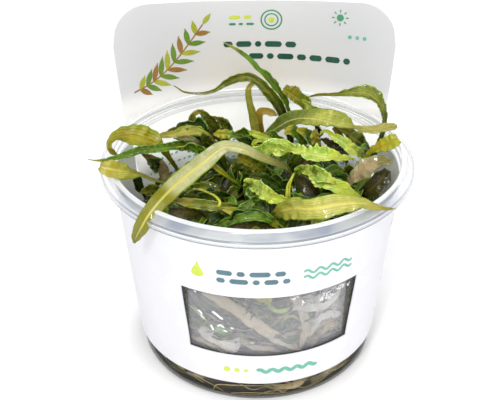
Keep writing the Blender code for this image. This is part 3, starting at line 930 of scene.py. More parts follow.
def build_print():
    """Generic marks where the card has print, one piece for each colour of ink."""
    build_sprig()
    green = [ring(on_header, 6.0, 96.6, 3.6, 0.5), ring(on_header, 6.0, 96.6, 2.3, 0.45)]
    green += sun_print(on_header, 30.0, 98.2, 3.0)
    green += dashes(on_header, -9.0, 95.0, [2.6, 1.6, 3.0], 0.9, 0.9)
    ink_piece("green_marks", green, (62, 138, 98))

    lime = [dot(on_header, 6.0, 96.6, 1.1)]
    lime += dashes(on_header, -9.0, 97.6, [4.2, 2.8], 1.0, 1.3)
    lime.append(drop_print(-19.4, 57.4, 6.0))
    lime += [dot(on_band, side, 14.6, radius) for side, radius in ((-10.5, 1.1), (-7.2, 0.9), (-4.4, 0.7))]
    ink_piece("lime_marks", lime, (192, 208, 66))

    dark = dashes(on_header, -11.0, 87.2, [3.4, 5.6, 2.4, 6.2, 4.0], 1.1, 2.2)
    dark += dashes(on_header, -2.0, 82.4, [5.4, 2.6, 6.0, 3.4, 4.6, 5.4, 2.6], 1.1, 2.2)
    ink_piece("dark_marks", dark, (32, 78, 62))

    slate = dashes(on_band, -13.4, 54.6, [5.0, 2.6, 6.4, 3.4], 1.2, 1.8)
    slate += dashes(on_band, -13.4, 51.6, [2.8, 5.8, 2.2, 4.4, 2.4], 1.2, 1.8)
    ink_piece("slate_marks", slate, (74, 108, 118))

    teal = [wave(on_band, 13.0, 30.0, z, 0.7, 4, 0.8) for z in (54.0, 51.8)]
    teal.append(wave(on_band, -1.0, 19.0, 14.6, 0.6, 5, 1.4))
    teal += [dot(on_header, side, 91.4, 0.7) for side in (33.8, 36.4, 39.0)]
    teal += dashes(on_band, 56.0, 52.0, [1.6, 2.4, 1.2], 0.8, 0.8)
    teal += dashes(on_band, 57.0, 27.0, [1.6, 2.4], 0.8, 0.8)
    ink_piece("teal_marks", teal, (96, 168, 146))

    draw = random.Random(SEEDS["inner_marks"])
    inside = []
    for row in range(4):
        start = -46.0 + 4.0 * (row % 2)
        while start < 44.0:
            length = 0.8 + 1.0 * draw.random()
            inside += dashes(inside_band, start, 42.0 + 3.4 * row, [length], 0.0, 0.7)
            start += length + 0.9
    ink_piece("inner_marks", inside, (112, 186, 164))


# Cup

def rounded(points, radius, steps):
    """The same outline with its corners rounded."""
    made = [Vector(points[0])]
    for before, corner, after in zip(points, points[1:], points[2:]):
        corner = Vector(corner)
        back = Vector(before) - corner
        on = Vector(after) - corner
        reach = min(radius, back.length * 0.45, on.length * 0.45)
        start = corner + back.normalized() * reach
        stop = corner + on.normalized() * reach
        for i in range(steps + 1):
            t = i / steps
            made.append(start.lerp(corner, t).lerp(corner.lerp(stop, t), t))
    return made + [Vector(points[-1])]


def cup_profile():
    """From the inside of the floor up the wall, over the rim and down the outside."""
    ledge_z = RIM_DROP_Z + LEDGE_RISE
    lip_foot = (LIP_RADIUS - 0.9, ledge_z + 0.9)
    under_rim = (LIP_RADIUS - 0.2, RIM_DROP_Z + 0.4)
    inside = rounded([(0.0, FLOOR_THICK), (cup_inner(FLOOR_THICK), FLOOR_THICK),
                      (cup_inner(WALL_TOP_Z), WALL_TOP_Z), lip_foot], FLOOR_ROUND, 6)
    over = rounded([lip_foot, (LIP_RADIUS - 0.7, CUP_HEIGHT), (LIP_RADIUS + 0.6, CUP_HEIGHT),
                    (LIP_RADIUS + 0.9, CUP_HEIGHT - 0.7), (RIM_RADIUS - 0.9, ledge_z + 0.75),
                    (RIM_RADIUS, ledge_z + 0.3), (RIM_RADIUS, RIM_DROP_Z), (RIM_RADIUS - 0.7, RIM_DROP_Z),
                    (RIM_RADIUS - 0.8, ledge_z - 0.1), (LIP_RADIUS + 0.4, ledge_z + 0.5),
                    under_rim], 0.45, 4)
    outside = rounded([under_rim, (cup_outer(WALL_TOP_Z), WALL_TOP_Z), (cup_outer(0.0), 0.0),
                       (0.0, 0.0)], FOOT_ROUND, 8)
    return inside + over[1:] + outside[1:]


def build_cup(plastic):
    """The profile spun once round the axis, then closed."""
    points = [Vector((p.x, 0.0, p.y)) * MM for p in cup_profile()]
    mesh = bpy.data.meshes.new("pot")
    mesh.from_pydata(points, [(i, i + 1) for i in range(len(points) - 1)], [])
    pot = bpy.data.objects.new("pot", mesh)
    bpy.context.collection.objects.link(pot)
    once_round = dict(steps=CUP_STEPS, angle=2.0 * math.pi, center=(0, 0, 0), axis=(0, 0, 1))
    edit_whole(pot, (bpy.ops.mesh.spin, once_round), merging(0.002), facing_out())
    finish_piece(pot, plastic, "clear_plastic", "cup")


# Leaves

def mound_top(x, y):
    """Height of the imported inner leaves, lower behind and to the left."""
    lumps = 1.3 * math.sin(0.21 * x + 0.6) * math.cos(0.19 * y - 0.4)
    return 49.0 - 0.10 * y + 0.06 * x + lumps


def catmull(a, b, c, d, t):
    """A point at t between b and c on the smooth curve through all four."""
    return 0.5 * (
        2.0 * b + (c - a) * t + (2.0 * a - 5.0 * b + 4.0 * c - d) * t * t
        + (3.0 * b - a - 3.0 * c + d) * t * t * t
    )


def smooth_route(points, step):
    """Evenly spaced points on a smooth curve through the given ones, its length, and the share
    of that length at each given point."""
    knots = [Vector(p) for p in points]
    padded = [2 * knots[0] - knots[1]] + knots + [2 * knots[-1] - knots[-2]]
    fine = [catmull(*padded[i : i + 4], k / FINE_STEPS)
            for i in range(len(knots) - 1) for k in range(FINE_STEPS)]
    fine.append(knots[-1])
    walked = [0.0]
    for a, b in zip(fine, fine[1:]):
        walked.append(walked[-1] + (b - a).length)
    length = walked[-1]
    count = max(8, round(length / step))
    route, index = [], 0
    for i in range(count + 1):
        target = length * i / count
        while index < len(fine) - 2 and walked[index + 1] < target:
            index += 1
        span = max(1e-6, walked[index + 1] - walked[index])
        route.append(fine[index].lerp(fine[index + 1], (target - walked[index]) / span))
    return route, length, [w / length for w in walked[::FINE_STEPS]]


def blade_width(t, stalk, narrows):
    """Share of the full width at t: a narrow stalk, a blade, then its tip."""
    grow = smoothstep((t - stalk) / BLADE_OPENS) if stalk else 1.0
    past = max(0.0, (t - narrows) / (1.001 - narrows))
    return lerp(STALK_SHARE, 1.0, grow) * max(TIP_SHARE, 1.0 - past**TIP_POWER)


def side_reach(plan, marks, stalk, t):
    """Half widths at t to the left and right of the midrib, walking from base to tip."""
    if "left" not in plan:
        half = 0.5 * plan["width"] * blade_width(t, stalk, plan["narrows"])
        return half, half
    index = max(i for i in range(len(marks) - 1) if marks[i] <= t + 1e-6)
    share = smoothstep((t - marks[index]) / (marks[index + 1] - marks[index]))
    sides = plan["left"], plan.get("right", plan["left"])
    return tuple(lerp(side[index], side[index + 1], share) for side in sides)


def blade_stations(plan, facing):
    """Centre, three directions, half widths, edge waves and distance of each row of a blade."""
    stalk = plan.get("stalk", 0.0 if "left" in plan else 0.1)
    twist = plan.get("twist", [(0.0, 0.0), (1.0, 0.0)])
    ripple = plan.get("ripple", 5.0)
    route, length, marks = smooth_route(plan["route"], plan.get("step", ROW_STEP))
    rows = len(route) - 1
    stations = []
    for i, centre in enumerate(route):
        t = i / rows
        along = (route[min(i + 1, rows)] - route[max(i - 1, 0)]).normalized()
        face = facing(centre) if facing else faced(plan.get("faces"), t)
        normal = (face - along * face.dot(along)).normalized()
        side = along.cross(normal)
        turn = math.radians(twist_at(twist, t))
        normal, side = (normal * math.cos(turn) - side * math.sin(turn),
                        side * math.cos(turn) + normal * math.sin(turn))
        halves = side_reach(plan, marks, stalk, t)
        calm = smoothstep((t - stalk) / CALM_BASE) if stalk else 1.0
        calm *= smoothstep((1.0 - t) / CALM_TIP)
        calm *= min(1.0, 0.5 * (halves[0] + halves[1]) / CALM_BELOW)
        edges = [edge_wave(plan["seed"] + 31.0 * e, t * length, ripple, plan["ruffle"][e] * calm)
                 for e in (0, 1)]
        stations.append((centre, along, normal, side, halves, edges, t * length))
    return stations


def lay_blade(name, plan, skin, facing=None):
    """A blade along its route: keeled, crisped along both edges, puckered and twisted."""
    fold, lobes = plan.get("fold", 0.32), plan.get("lobes", 0.25)
    pucker, seed = plan.get("pucker", 0.3), plan["seed"]
    columns = plan.get("columns", BLADE_COLUMNS)
    stations = blade_stations(plan, facing)

    def place(column, row):
        centre, along, normal, side, halves, edges, walked = stations[row]
        half = 0.5 * (halves[0] + halves[1])
        s = 2.0 * column / columns - 1.0
        up, out, slide, lobe = edges[0] if s < 0 else edges[1]
        reach = abs(s)
        share = reach**EDGE_POWER
        aside = halves[s > 0] * (1.0 + lobes * lobe * reach) + out * share
        lift = up * share - fold * half * (1.0 - reach)
        lift -= RIB_DEPTH * math.exp(-((s / RIB_SPREAD) ** 2)) * min(1.0, half)
        lift += pucker * min(1.0, 0.5 * half) * reach * (1.3 - reach) * 3.0 * noise.noise(
            Vector((s * 2.3 + seed, walked / 1.9, seed * 3.1)))
        spot = centre + side * (s * aside) + normal * lift + along * (slide * share)
        return spot if plan.get("hangs") else kept_in(spot)

    piece = laid_grid(name, columns, len(stations) - 1, place)
    apply_modifier(piece, "SOLIDIFY", thickness=plan.get("thick", BLADE_THICK) * MM, offset=0.0)
    piece.data.materials.append(skin)
    return piece


def kept_in(point):
    """The point, moved in where it would pass through the cup's wall or its rim."""
    limit = cup_inner(point.z) - GAP_TO_WALL if point.z < WALL_TOP_Z else LIP_RADIUS - GAP_TO_LIP
    reach = math.hypot(point.x, point.y)
    if point.z > RIM_DROP_Z + CLEAR_OF_RIM or reach <= limit or reach > RIM_RADIUS:
        return point
    return Vector((point.x * limit / reach, point.y * limit / reach, point.z))


def edge_wave(seed, walked, ripple, strength):
    """How far an edge lifts, reaches out, slides along and bulges at a length along it."""
    slow = noise.noise(Vector((seed * 7.3, walked / SLOW_LENGTH, 0.0)))
    lobe = noise.noise(Vector((seed * 3.7, walked / LOBE_LENGTH, 9.0)))
    phase = 2.0 * math.pi * (walked / ripple + 1.1 * slow) + seed
    strength *= 0.85 + 0.9 * slow
    up = (math.sin(phase) + 0.2 * math.sin(2.3 * phase + seed)) * strength
    return up, 0.3 * math.cos(2.0 * phase + 0.7) * strength, 0.3 * math.cos(phase) * strength, 2.0 * lobe


def faced(faces, t):
    """Which way the blade's face looks at t: towards the front and up, or eased between given ways."""
    if not faces:
        return LEAF_FACING
    for (t0, way0), (t1, way1) in zip(faces, faces[1:]):
        if t <= t1:
            return Vector(way0).lerp(Vector(way1), smoothstep((t - t0) / (t1 - t0))).normalized()
    return Vector(faces[-1][1]).normalized()


def twist_at(twist, t):
    """Degrees of twist at t, eased between the given stations."""
    for (t0, a0), (t1, a1) in zip(twist, twist[1:]):
        if t <= t1:
            return lerp(a0, a1, smoothstep((t - t0) / max(1e-6, t1 - t0)))
    return twist[-1][1]


# Each leaf or stalk that lies loose on top: its look, how its edge is crisped, which way it faces,
# its course from base to tip, and its half widths at the points of the course. right is given
# where it differs from left, and a plain leaf has one width instead, up to where it narrows.
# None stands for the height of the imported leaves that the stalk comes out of. more has further
# blades of the clump, and tangle the looks of its crumpled leaflets.
LEAVES = {
    "leaf_strap": dict(
        look="strap", slot="pale_leaf", hangs=True, ruffle=(0.12, 0.16), ripple=12, fold=0.14, lobes=0.04,
        pucker=0.12,
        faces=[(0, (0.3, -0.8, 0.5)), (0.42, (0, -0.4, 0.9)), (0.72, (0, -0.85, 0.5)),
               (1, (-0.2, -0.97, 0.1))],
        route=[(13, 13.7, None), (10.6, 3.7, 62), (6.1, -0.4, 67), (1.4, -2.9, 70.5), (-3.4, -4.2, 74),
               (-7.8, -4.6, 75.5), (-11.6, -7.1, 76.2), (-17, -15.6, 76), (-22.3, -23.2, 75.3),
               (-26.6, -29.7, 74.5), (-29.9, -34.3, 73), (-32.8, -37.4, 70.5), (-34.9, -38.1, 67),
               (-36.7, -37.1, 63), (-37.5, -36.5, 60.5)],
        left=(0.5, 0.8, 1.3, 1.6, 2.1, 2.4, 2.4, 2.9, 2.9, 2.8, 2.6, 2.5, 2.2, 1.5, 0.4),
        right=(0.5, 0.8, 1.3, 1.8, 2.1, 2.2, 2.7, 2.9, 2.9, 2.8, 2.6, 2.5, 2.2, 1.5, 0.4)),
    "leaf_left_crisped": dict(
        look="green", slot="green_leaf", ruffle=(0.3, 0.6), ripple=2.4, fold=0.45, lobes=0.15,
        tangle=[("green", 1), ("dark", 1)], tangle_from=0.2, tangle_to=0.42,
        route=[(-7.9, 19.6, None), (-13.9, 13, 62), (-18.9, 3.3, 70), (-23.6, 1.9, 72.5), (-27.9, -1.5, 74),
               (-32.4, -4.6, 75), (-37.2, -7.8, 76), (-41, -11, 76.3), (-44.6, -12.6, 76),
               (-47.7, -12.8, 75.5), (-50.7, -11.3, 74.6), (-53.5, -7.1, 72.8)],
        left=(0.3, 0.7, 1.3, 1.5, 1.3, 1.2, 1.1, 1, 0.7, 0.5, 0.2, 0.1),
        right=(0.3, 0.7, 1.6, 1.7, 1.4, 1.4, 1.3, 1.1, 0.9, 0.5, 0.2, 0.1),
        more=[
            dict(look="dark", ruffle=(0.8, 0.8), ripple=2.5, lobes=0.35,
                 route=[(-13.4, 35.3, None), (-14.6, 15.1, 62), (-15.9, 9.7, 68), (-16.9, 6.8, 72),
                        (-17.9, 6.9, 74)],
                 left=(0.7, 1.6, 2, 1.8, 0.7)),
            dict(look="grey", ruffle=(0.1, 0.1),
                 route=[(-15.9, 12.3, 62), (-18, 7.9, 69), (-20.4, 3.1, 74), (-23.5, 0.8, 76),
                        (-26.7, -0.8, 76.5)],
                 left=(0.3, 0.5, 0.8, 0.8, 0.2),
                 right=(0.3, 0.5, 0.7, 0.6, 0.2)),
        ]),
    "leaf_left_olive": dict(
        look="moss", slot="olive_leaf", ruffle=(0.3, 0.35), ripple=7, fold=0.25, lobes=0.06,
        faces=[(0, (0, -0.7, 0.7)), (1, (-0.2, -0.8, 0.6))],
        route=[(-24.1, 22.1, None), (-28.2, 9.8, 62), (-31.5, 3.1, 71), (-33.9, 2.5, 73),
               (-36.1, 1.6, 74.2), (-37.9, 1.5, 75), (-40.1, 1.4, 75.8), (-42.3, 0.8, 76.5),
               (-44.6, -0.7, 77), (-46.5, -3, 76.8), (-46.8, -5.2, 76), (-46.1, -4.5, 74),
               (-44.6, -3.2, 72)],
        left=(0.4, 0.7, 0.8, 1.1, 1.6, 2.1, 2.4, 1.9, 0.8, 0.8, 0.9, 0.9, 0.3),
        right=(0.4, 0.7, 1.9, 4.5, 5.1, 5, 4.7, 3.4, 2.2, 1.3, 0.8, 0.9, 0.3)),
    "leaf_left_broad": dict(
        look="pale", slot="pale_leaf", ruffle=(0.25, 0.3), ripple=7, fold=0.3, lobes=0.06,
        route=[(-19.8, 7.7, None), (-26, -0.1, 57), (-30.5, -3.7, 62), (-34, -7.4, 65.5),
               (-36.7, -10.8, 69), (-39.2, -13.9, 71.5), (-42.2, -16.6, 74), (-45.1, -18.3, 75.5),
               (-47.4, -18.2, 76), (-48.6, -17.3, 76)],
        left=(0.3, 0.3, 0.4, 0.5, 0.6, 2, 2.9, 2.7, 2, 1.1),
        right=(0.3, 0.3, 0.4, 0.5, 0.6, 1.2, 2.6, 2.7, 2, 1.1)),
    "leaf_arch_tall": dict(
        look="olive", slot="olive_leaf", ruffle=(0.15, 0.35), ripple=7, lobes=0.08,
        faces=[(0, (0.3, -0.9, 0.2)), (0.5, (0, -0.95, 0.2)), (1, (0, -0.9, 0.4))],
        route=[(13.9, 35.3, None), (11.8, 30.2, 63), (9.1, 23.6, 73), (6.7, 20.3, 79), (4.2, 17.8, 83.5),
               (2.1, 17, 86.4), (0, 16.5, 88.6), (-2.3, 16.2, 89.8), (-5.2, 18.2, 89), (-7.5, 20.2, 87),
               (-9.9, 21.5, 85.3), (-11.7, 21.2, 84), (-13.5, 20.8, 83), (-16.5, 20.5, 82.2),
               (-19.5, 20.6, 82), (-22.1, 20.8, 82.1), (-24.5, 20.7, 82.8), (-26, 21.3, 83.7),
               (-27.5, 21.8, 84.4)],
        left=(0.7, 1.4, 1.7, 1.8, 1.8, 1.6, 1.6, 1.5, 1.6, 1.3, 1.2, 0.8, 0.6, 0.5, 0.4, 0.3, 0.3, 0.2,
              0.1),
        right=(0.7, 1.4, 1.7, 1.8, 1.8, 1.6, 1.4, 1.5, 1.3, 1.5, 1.2, 0.9, 0.7, 0.5, 0.4, 0.3, 0.3, 0.2,
               0.1)),
    "leaf_arch_inner": dict(
        look="pale", slot="olive_leaf", ruffle=(0.1, 0.1), ripple=7, lobes=0.04,
        route=[(0.1, 35.7, None), (0.6, 27.8, 60), (-0.2, 25, 67), (-1.3, 22.5, 74), (-2.3, 20.5, 79.5),
               (-2.6, 19.1, 83.5), (-1.8, 20.1, 85.2), (-0.3, 21.3, 85.5), (1.4, 22.3, 84.5)],
        left=(0.7, 1, 1.5, 1.3, 1.1, 1, 0.8, 0.7, 0.3)),
    "leaf_diagonal": dict(
        look="green", slot="green_leaf", ruffle=(0.05, 0.5), ripple=4.2, fold=0.4, lobes=0.35,
        route=[(18.8, 33.5, None), (14.4, 32.1, 62), (11.2, 26.9, 73), (9.3, 23.9, 78.5), (6.7, 21.8, 83.2),
               (3.6, 20.4, 87.8), (0.7, 20, 91.2), (-2.2, 20.9, 94), (-5.2, 24.7, 95), (-8, 29.4, 95),
               (-10.9, 33.2, 95)],
        left=(0.4, 0.5, 0.6, 0.7, 0.8, 0.7, 0.7, 0.7, 0.6, 0.4, 0.1),
        right=(0.4, 0.5, 0.6, 1.4, 1.7, 1.3, 1.1, 0.7, 0.6, 0.4, 0.1)),
    "leaf_back_crisped": dict(
        look="olive", slot="green_leaf", ruffle=(0.6, 0.8), ripple=3.4, lobes=0.25,
        tangle=[("bright", 1), ("olive", 1)],
        route=[(23.4, 36.6, None), (22.7, 31.9, 58), (21.2, 30.3, 66), (18.5, 28.3, 71.5), (15.5, 26.2, 76),
               (12.3, 24.4, 79.5), (9.5, 23.9, 82)],
        left=(0.5, 0.7, 1, 1.2, 1.7, 1.7, 1.3),
        right=(0.5, 0.7, 1, 1.9, 3.2, 3.2, 1.7)),
    "leaf_arch_right": dict(
        look="olive", slot="olive_leaf", ruffle=(0.3, 0.5), ripple=3.8, lobes=0.2,
        route=[(36.1, 13.8, None), (38.6, 11.1, 61), (41.4, 11.5, 69.5), (42.6, 13.1, 75), (42.1, 13, 78),
               (40.6, 13.7, 81), (38.8, 14.2, 83), (35.9, 14.1, 84.8), (32.8, 13.6, 85.2), (29.6, 14.1, 85),
               (26.8, 15.2, 84), (23.3, 16.5, 83.2), (20.2, 18.1, 82.3), (16.4, 18.7, 81)],
        left=(0.7, 1, 1, 0.8, 1, 1.1, 1.3, 1.6, 1.8, 1.2, 0.7, 0.5, 0.3, 0.1),
        right=(0.7, 1, 1, 0.7, 1, 2, 3, 2.8, 2.2, 1.2, 0.6, 0.5, 0.5, 0.1)),
    "leaf_veined": dict(
        look="veined", slot="olive_leaf", ruffle=(0.15, 0.25), ripple=7, lobes=0.05, pucker=0.35,
        faces=[(0, (0, -0.9, 0.4)), (0.5, (0, -0.55, 0.8)), (1, (0, -0.7, 0.7))],
        route=[(2.8, 30.1, None), (2.9, 23.4, 60), (5.2, 22.7, 66), (8.2, 21.3, 69.5), (11.2, 20.4, 72),
               (14.5, 19.1, 73.7), (17.5, 17.3, 74.6), (20.5, 15.2, 75.2), (23.7, 12.8, 75.4),
               (26.8, 10.3, 75.4), (29.5, 8.4, 75.5), (32, 7.4, 75.6), (34.8, 6.2, 75.7), (37.7, 6, 75.8),
               (41.4, 6.5, 76), (44.7, 7.2, 76), (45.8, 7.5, 76)],
        left=(0.5, 0.9, 1.7, 2.7, 3, 3, 3.4, 4.1, 4.7, 4.6, 3.4, 0.8, 1.1, 1.3, 1.6, 1.3, 0.5),
        right=(0.5, 0.9, 1.2, 2, 2.5, 2.9, 3.1, 3, 2.3, 1.2, 0.5, 0.5, 1.2, 1.6, 1.3, 1.1, 0.5)),
    "leaf_dark_droop": dict(
        look="olive", slot="dark_leaf", ruffle=(0.3, 0.3), ripple=5, lobes=0.12, tangle=[("olive", 1)],
        route=[(40.3, 20.8, None), (38.2, 18.5, 58), (36.8, 16.2, 63), (34.5, 15.5, 66.5),
               (31.7, 14.5, 69.5), (28.9, 13.9, 71.5), (26.4, 13.9, 72.5)],
        left=(0.7, 1.4, 1.7, 2, 1.9, 1.1, 0.7),
        right=(0.7, 1.4, 1.8, 2.2, 2.1, 1.3, 0.7),
        more=[
            dict(look="olive", ruffle=(0.3, 0.3),
                 route=[(33.6, 31.1, None), (30.9, 22.2, 60), (28.8, 16.1, 67), (27.4, 15.4, 70),
                        (25.8, 16.5, 71)],
                 left=(0.7, 1, 1.1, 1.1, 0.5)),
        ]),
    "leaf_right_broad": dict(
        look="amber", slot="olive_leaf", ruffle=(0.3, 0.4), ripple=2.6, lobes=0.15,
        faces=[(0, (0, -0.6, 0.8)), (1, (0, -0.5, 0.85))],
        route=[(33.1, 11.8, None), (35.5, 6.8, 60), (36.1, 5.2, 66), (37.5, 3.5, 69), (39.4, 1.6, 71.5),
               (41.5, 0.9, 73.3), (43.6, 0.5, 74.8), (45.2, 1, 75.4)],
        left=(0.3, 0.5, 0.6, 2, 2.8, 2.8, 2.1, 1.3),
        right=(0.3, 0.5, 0.6, 0.8, 1.9, 3.1, 3.2, 2.1)),
    "leaf_right_grey": dict(
        look="grey", slot="grey_leaf", ruffle=(0.35, 0.4), ripple=4, lobes=0.15,
        faces=[(0, (0, -0.6, 0.8)), (1, (0, -0.5, 0.85))],
        route=[(27, 1.8, None), (28.4, -1.8, 58), (30.1, -5.2, 63), (32.4, -6.1, 66.5), (34.8, -6.4, 69),
               (37.2, -6.7, 70.6), (39.6, -7.3, 71.5), (41.9, -9.2, 71.8)],
        left=(0.5, 1, 2.3, 2.9, 2.9, 2.2, 1.6, 0.9),
        right=(0.5, 1, 1.6, 2.9, 3.2, 2.9, 2.2, 1.1)),
    "leaf_right_dark": dict(
        look="brown", slot="dark_leaf", ruffle=(0.3, 0.3), ripple=6, lobes=0.12,
        route=[(33.4, 0.1, None), (35.4, -3.9, 57.5), (37.7, -5.2, 60.5), (40.2, -4.3, 63.3),
               (42.1, -2.6, 65.5)],
        left=(1, 2.3, 2.9, 2.9, 1.3)),
    "leaf_bright_upper": dict(
        look="bright", pucker=0.6, slot="green_leaf", ruffle=(0.75, 0.75), ripple=3.4, fold=0.4, lobes=0.3,
        tangle=[("bright", 1)], tangle_from=0.25, tangle_to=0.6,
        faces=[(0, (0, -0.85, 0.5)), (1, (0.1, -0.5, 0.85))],
        route=[(-3.1, 15.3, None), (-0.9, 8.6, 62), (1.4, 7, 66.5), (3.7, 6, 68.6), (6.1, 5.3, 70.2),
               (8.4, 2.7, 71.4), (11.1, -0.7, 72.5), (14.1, -3.8, 73.4), (17.1, -6.6, 74), (20.2, -7.9, 74),
               (23, -7.9, 73.4), (26.7, -6, 71.8), (31.3, -2.8, 69.8)],
        left=(0.3, 0.4, 0.5, 2, 3.1, 2.9, 1.6, 2.2, 3.2, 3, 3.1, 1.9, 0.2),
        right=(0.3, 0.4, 0.5, 0.8, 1.6, 2.1, 1.6, 1.7, 2.3, 2.7, 1.4, 1, 0.2)),
    "leaf_bright_lower": dict(
        look="bright", slot="green_leaf", ruffle=(0.55, 0.6), ripple=3.2, fold=0.4, lobes=0.2,
        tangle=[("bright", 1)],
        route=[(13.8, 9.9, None), (12.8, 1.9, 60), (13.7, -3.6, 66), (16, -10.4, 69.5), (18.9, -17.8, 71.6),
               (21.9, -22, 71.6), (25.6, -22.8, 70), (28.8, -22.4, 68.3), (31.8, -22, 66.8)],
        left=(0.3, 0.5, 1.4, 2.3, 2.6, 2.7, 2.3, 1.4, 0.2),
        right=(0.3, 0.5, 1, 1.4, 2.9, 2.4, 1.4, 0.7, 0.2)),
    "leaf_front_twisted": dict(
        look="pale", slot="pale_leaf", hangs=True, ruffle=(0.3, 0.35), ripple=8, fold=0.2, lobes=0.06,
        route=[(3, -19.8, None), (3.4, -24.8, 60), (5.2, -30.3, 66.5), (7.7, -34, 70), (10.4, -37, 72.3),
               (13.7, -39.7, 73.8), (17.4, -40.8, 74.8), (21.1, -40.4, 75.3), (25.2, -39.7, 75.4),
               (29.4, -38.9, 75), (33.3, -38, 73.6), (36.7, -37.1, 72.2), (39.9, -35.6, 71)],
        left=(0.5, 0.6, 1.5, 2.8, 3.3, 2.8, 3.4, 3.3, 2.7, 1.7, 0.8, 0.5, 0.1),
        right=(0.5, 0.6, 1.8, 3.1, 3.3, 3.1, 3.3, 2.9, 2.5, 1.4, 1.3, 0.6, 0.1)),
    "leaf_front_pale": dict(
        look="bright", slot="green_leaf", ruffle=(0.6, 0.6), ripple=3.6, fold=0.4, lobes=0.2,
        tangle=[("green", 1)],
        route=[(-3, -0.1, None), (-3.4, -7.5, 61), (-2.6, -14.2, 67), (-0.3, -21.9, 70.3),
               (2.6, -27.6, 71.8), (5.4, -30.3, 72.2), (8.9, -31.6, 72)],
        left=(0.5, 1, 1.9, 2.4, 1.6, 1.1, 0.2),
        right=(0.5, 0.6, 1.3, 1.8, 2.4, 2, 0.2)),
    "stalk_loop": dict(
        look="stalk", slot="yellow_stalk", ruffle=(0, 0), columns=6, thick=0.5,
        route=[(-23.4, 11.6, None), (-20.7, -15.3, 66), (-18.9, -18.9, 68.5), (-16.2, -23.8, 70.5),
               (-13.9, -27.4, 71.5), (-12.3, -29.4, 71.2), (-11.8, -30.7, 70.6), (-12.5, -31.1, 69.6)],
        left=(0.2, 0.2, 0.3, 0.3, 0.3, 0.3, 0.3, 0.3)),
    "leaf_front_olive": dict(
        look="olive", slot="olive_leaf", ruffle=(0.35, 0.35), lobes=0.1, tangle=[("olive", 1)],
        route=[(-3.9, -14.4, None), (-3.9, -19.5, 60), (-6.7, -23.8, 64.5), (-11, -25.7, 66.5),
               (-15.5, -26.1, 67.3), (-20.9, -26.9, 68.4), (-26.6, -27.1, 69.6)],
        left=(0.5, 0.7, 1.2, 1.5, 1.8, 1.5, 0.6),
        right=(0.5, 0.7, 0.9, 1.2, 1.5, 1.5, 0.6),
        more=[
            dict(look="green", ruffle=(0.7, 0.7), ripple=2.8,
                 route=[(3.5, -2.6, None), (0.7, -19.6, 64), (-1.6, -24.6, 68), (-3, -26.6, 67.8),
                        (-4.2, -28.1, 67), (-6.2, -28.9, 66.6), (-8.6, -28.9, 66.8), (-11.3, -28.3, 67.2)],
                 left=(0.5, 0.7, 1, 1.3, 1.3, 1.3, 1.2, 0.5),
                 right=(0.5, 0.7, 1, 1.3, 1.3, 1.2, 1.1, 0.5)),
        ]),
    "leaf_front_arch": dict(
        look="green", slot="green_leaf", ruffle=(0.4, 0.4), ripple=4, lobes=0.15, tangle=[("dark", 1)],
        route=[(-13.1, -23.8, None), (-14.5, -27.1, 58), (-12.2, -29.7, 62), (-9.5, -31.1, 64.5),
               (-5.6, -32.6, 66.5), (-1.7, -32, 67), (1.6, -31.4, 66), (4.1, -30.3, 63.5),
               (6, -28.1, 59.5)],
        left=(0.5, 0.8, 1.1, 1.2, 1.5, 1.5, 1.4, 1.2, 0.3),
        right=(0.5, 0.8, 1.2, 1.5, 1.6, 1.5, 1.5, 1.2, 0.3)),
    "leaf_curled": dict(
        look="olive", slot="dark_leaf", ruffle=(0.4, 0.5), ripple=2.2, fold=0.2, lobes=0.12,
        tangle=[("grey", 1), ("brown", 1), ("olive", 1)],
        route=[(-11.2, 41.1, None), (-12, 25.4, 61), (-13.2, 19.9, 69), (-14.8, 18, 73),
               (-16.7, 15.2, 76.5), (-18.6, 14.2, 78.5), (-20.4, 12.8, 78.3), (-21.4, 13.7, 76),
               (-21.4, 15.2, 73)],
        left=(0.6, 1, 1.7, 2.2, 1.8, 0.8, 0.8, 1.7, 2),
        right=(0.6, 1, 1.2, 1.3, 1, 0.7, 0.9, 1, 1.1)),
    "leaf_back_pale": dict(
        look="pale", slot="pale_leaf", ruffle=(0.3, 0.3), ripple=6, lobes=0.1,
        tangle=[("olive", 1), ("dark", 1)],
        route=[(-10, 24.3, None), (-11.6, 17.2, 60), (-14.8, 10.6, 69), (-17.6, 8.6, 72.5),
               (-20.5, 8.1, 74.5), (-23.7, 6.2, 75.5), (-27.1, 4, 75.5), (-30.1, 4.5, 75),
               (-32.5, 6.1, 74)],
        left=(0.7, 0.9, 1.3, 1.5, 1.8, 1.8, 1, 1, 0.2),
        right=(0.7, 0.9, 1.2, 1.8, 2, 1.8, 1, 1, 0.2)),
    "leaf_left_grey": dict(
        look="grey", slot="grey_leaf", width=4, narrows=0.7, ruffle=(0.3, 0.3), tangle=[("dark", 1)],
        route=[(-27, 10, None), (-31, 3, 63), (-34, -1, 69), (-37, -4, 73)]),
    "leaf_orange": dict(
        look="orange", slot="olive_leaf", ruffle=(0.15, 0.15), lobes=0.05,
        route=[(5.2, 46.1, None), (2.8, 30.4, 61), (1.9, 27.6, 66), (1.4, 26.8, 69.5), (1.7, 26.8, 71.8),
               (3.6, 26.7, 72.3), (5.6, 26, 72), (7.3, 25.3, 71.2)],
        left=(0.6, 0.7, 0.9, 1.1, 1.4, 1.2, 1.2, 0.3),
        right=(0.6, 0.7, 0.9, 1.1, 1.4, 1.2, 1.4, 0.3)),
    "stalk_upright": dict(
        look="stalk", slot="yellow_stalk", ruffle=(0, 0), columns=6, thick=0.7,
        route=[(10, -12, None), (10.1, -14.4, 58.5), (9.4, -16.7, 64), (9.4, -16.5, 67.5),
               (10.2, -15.9, 70), (11.1, -14.2, 71)],
        left=(0.6, 0.8, 0.9, 0.7, 0.4, 0.2),
        right=(0.5, 0.5, 0.6, 0.5, 0.4, 0.2)),
    "leaf_dark_right": dict(
        look="bright", slot="green_leaf", ruffle=(0.5, 0.5), ripple=3.2, lobes=0.2, tangle=[("green", 1)],
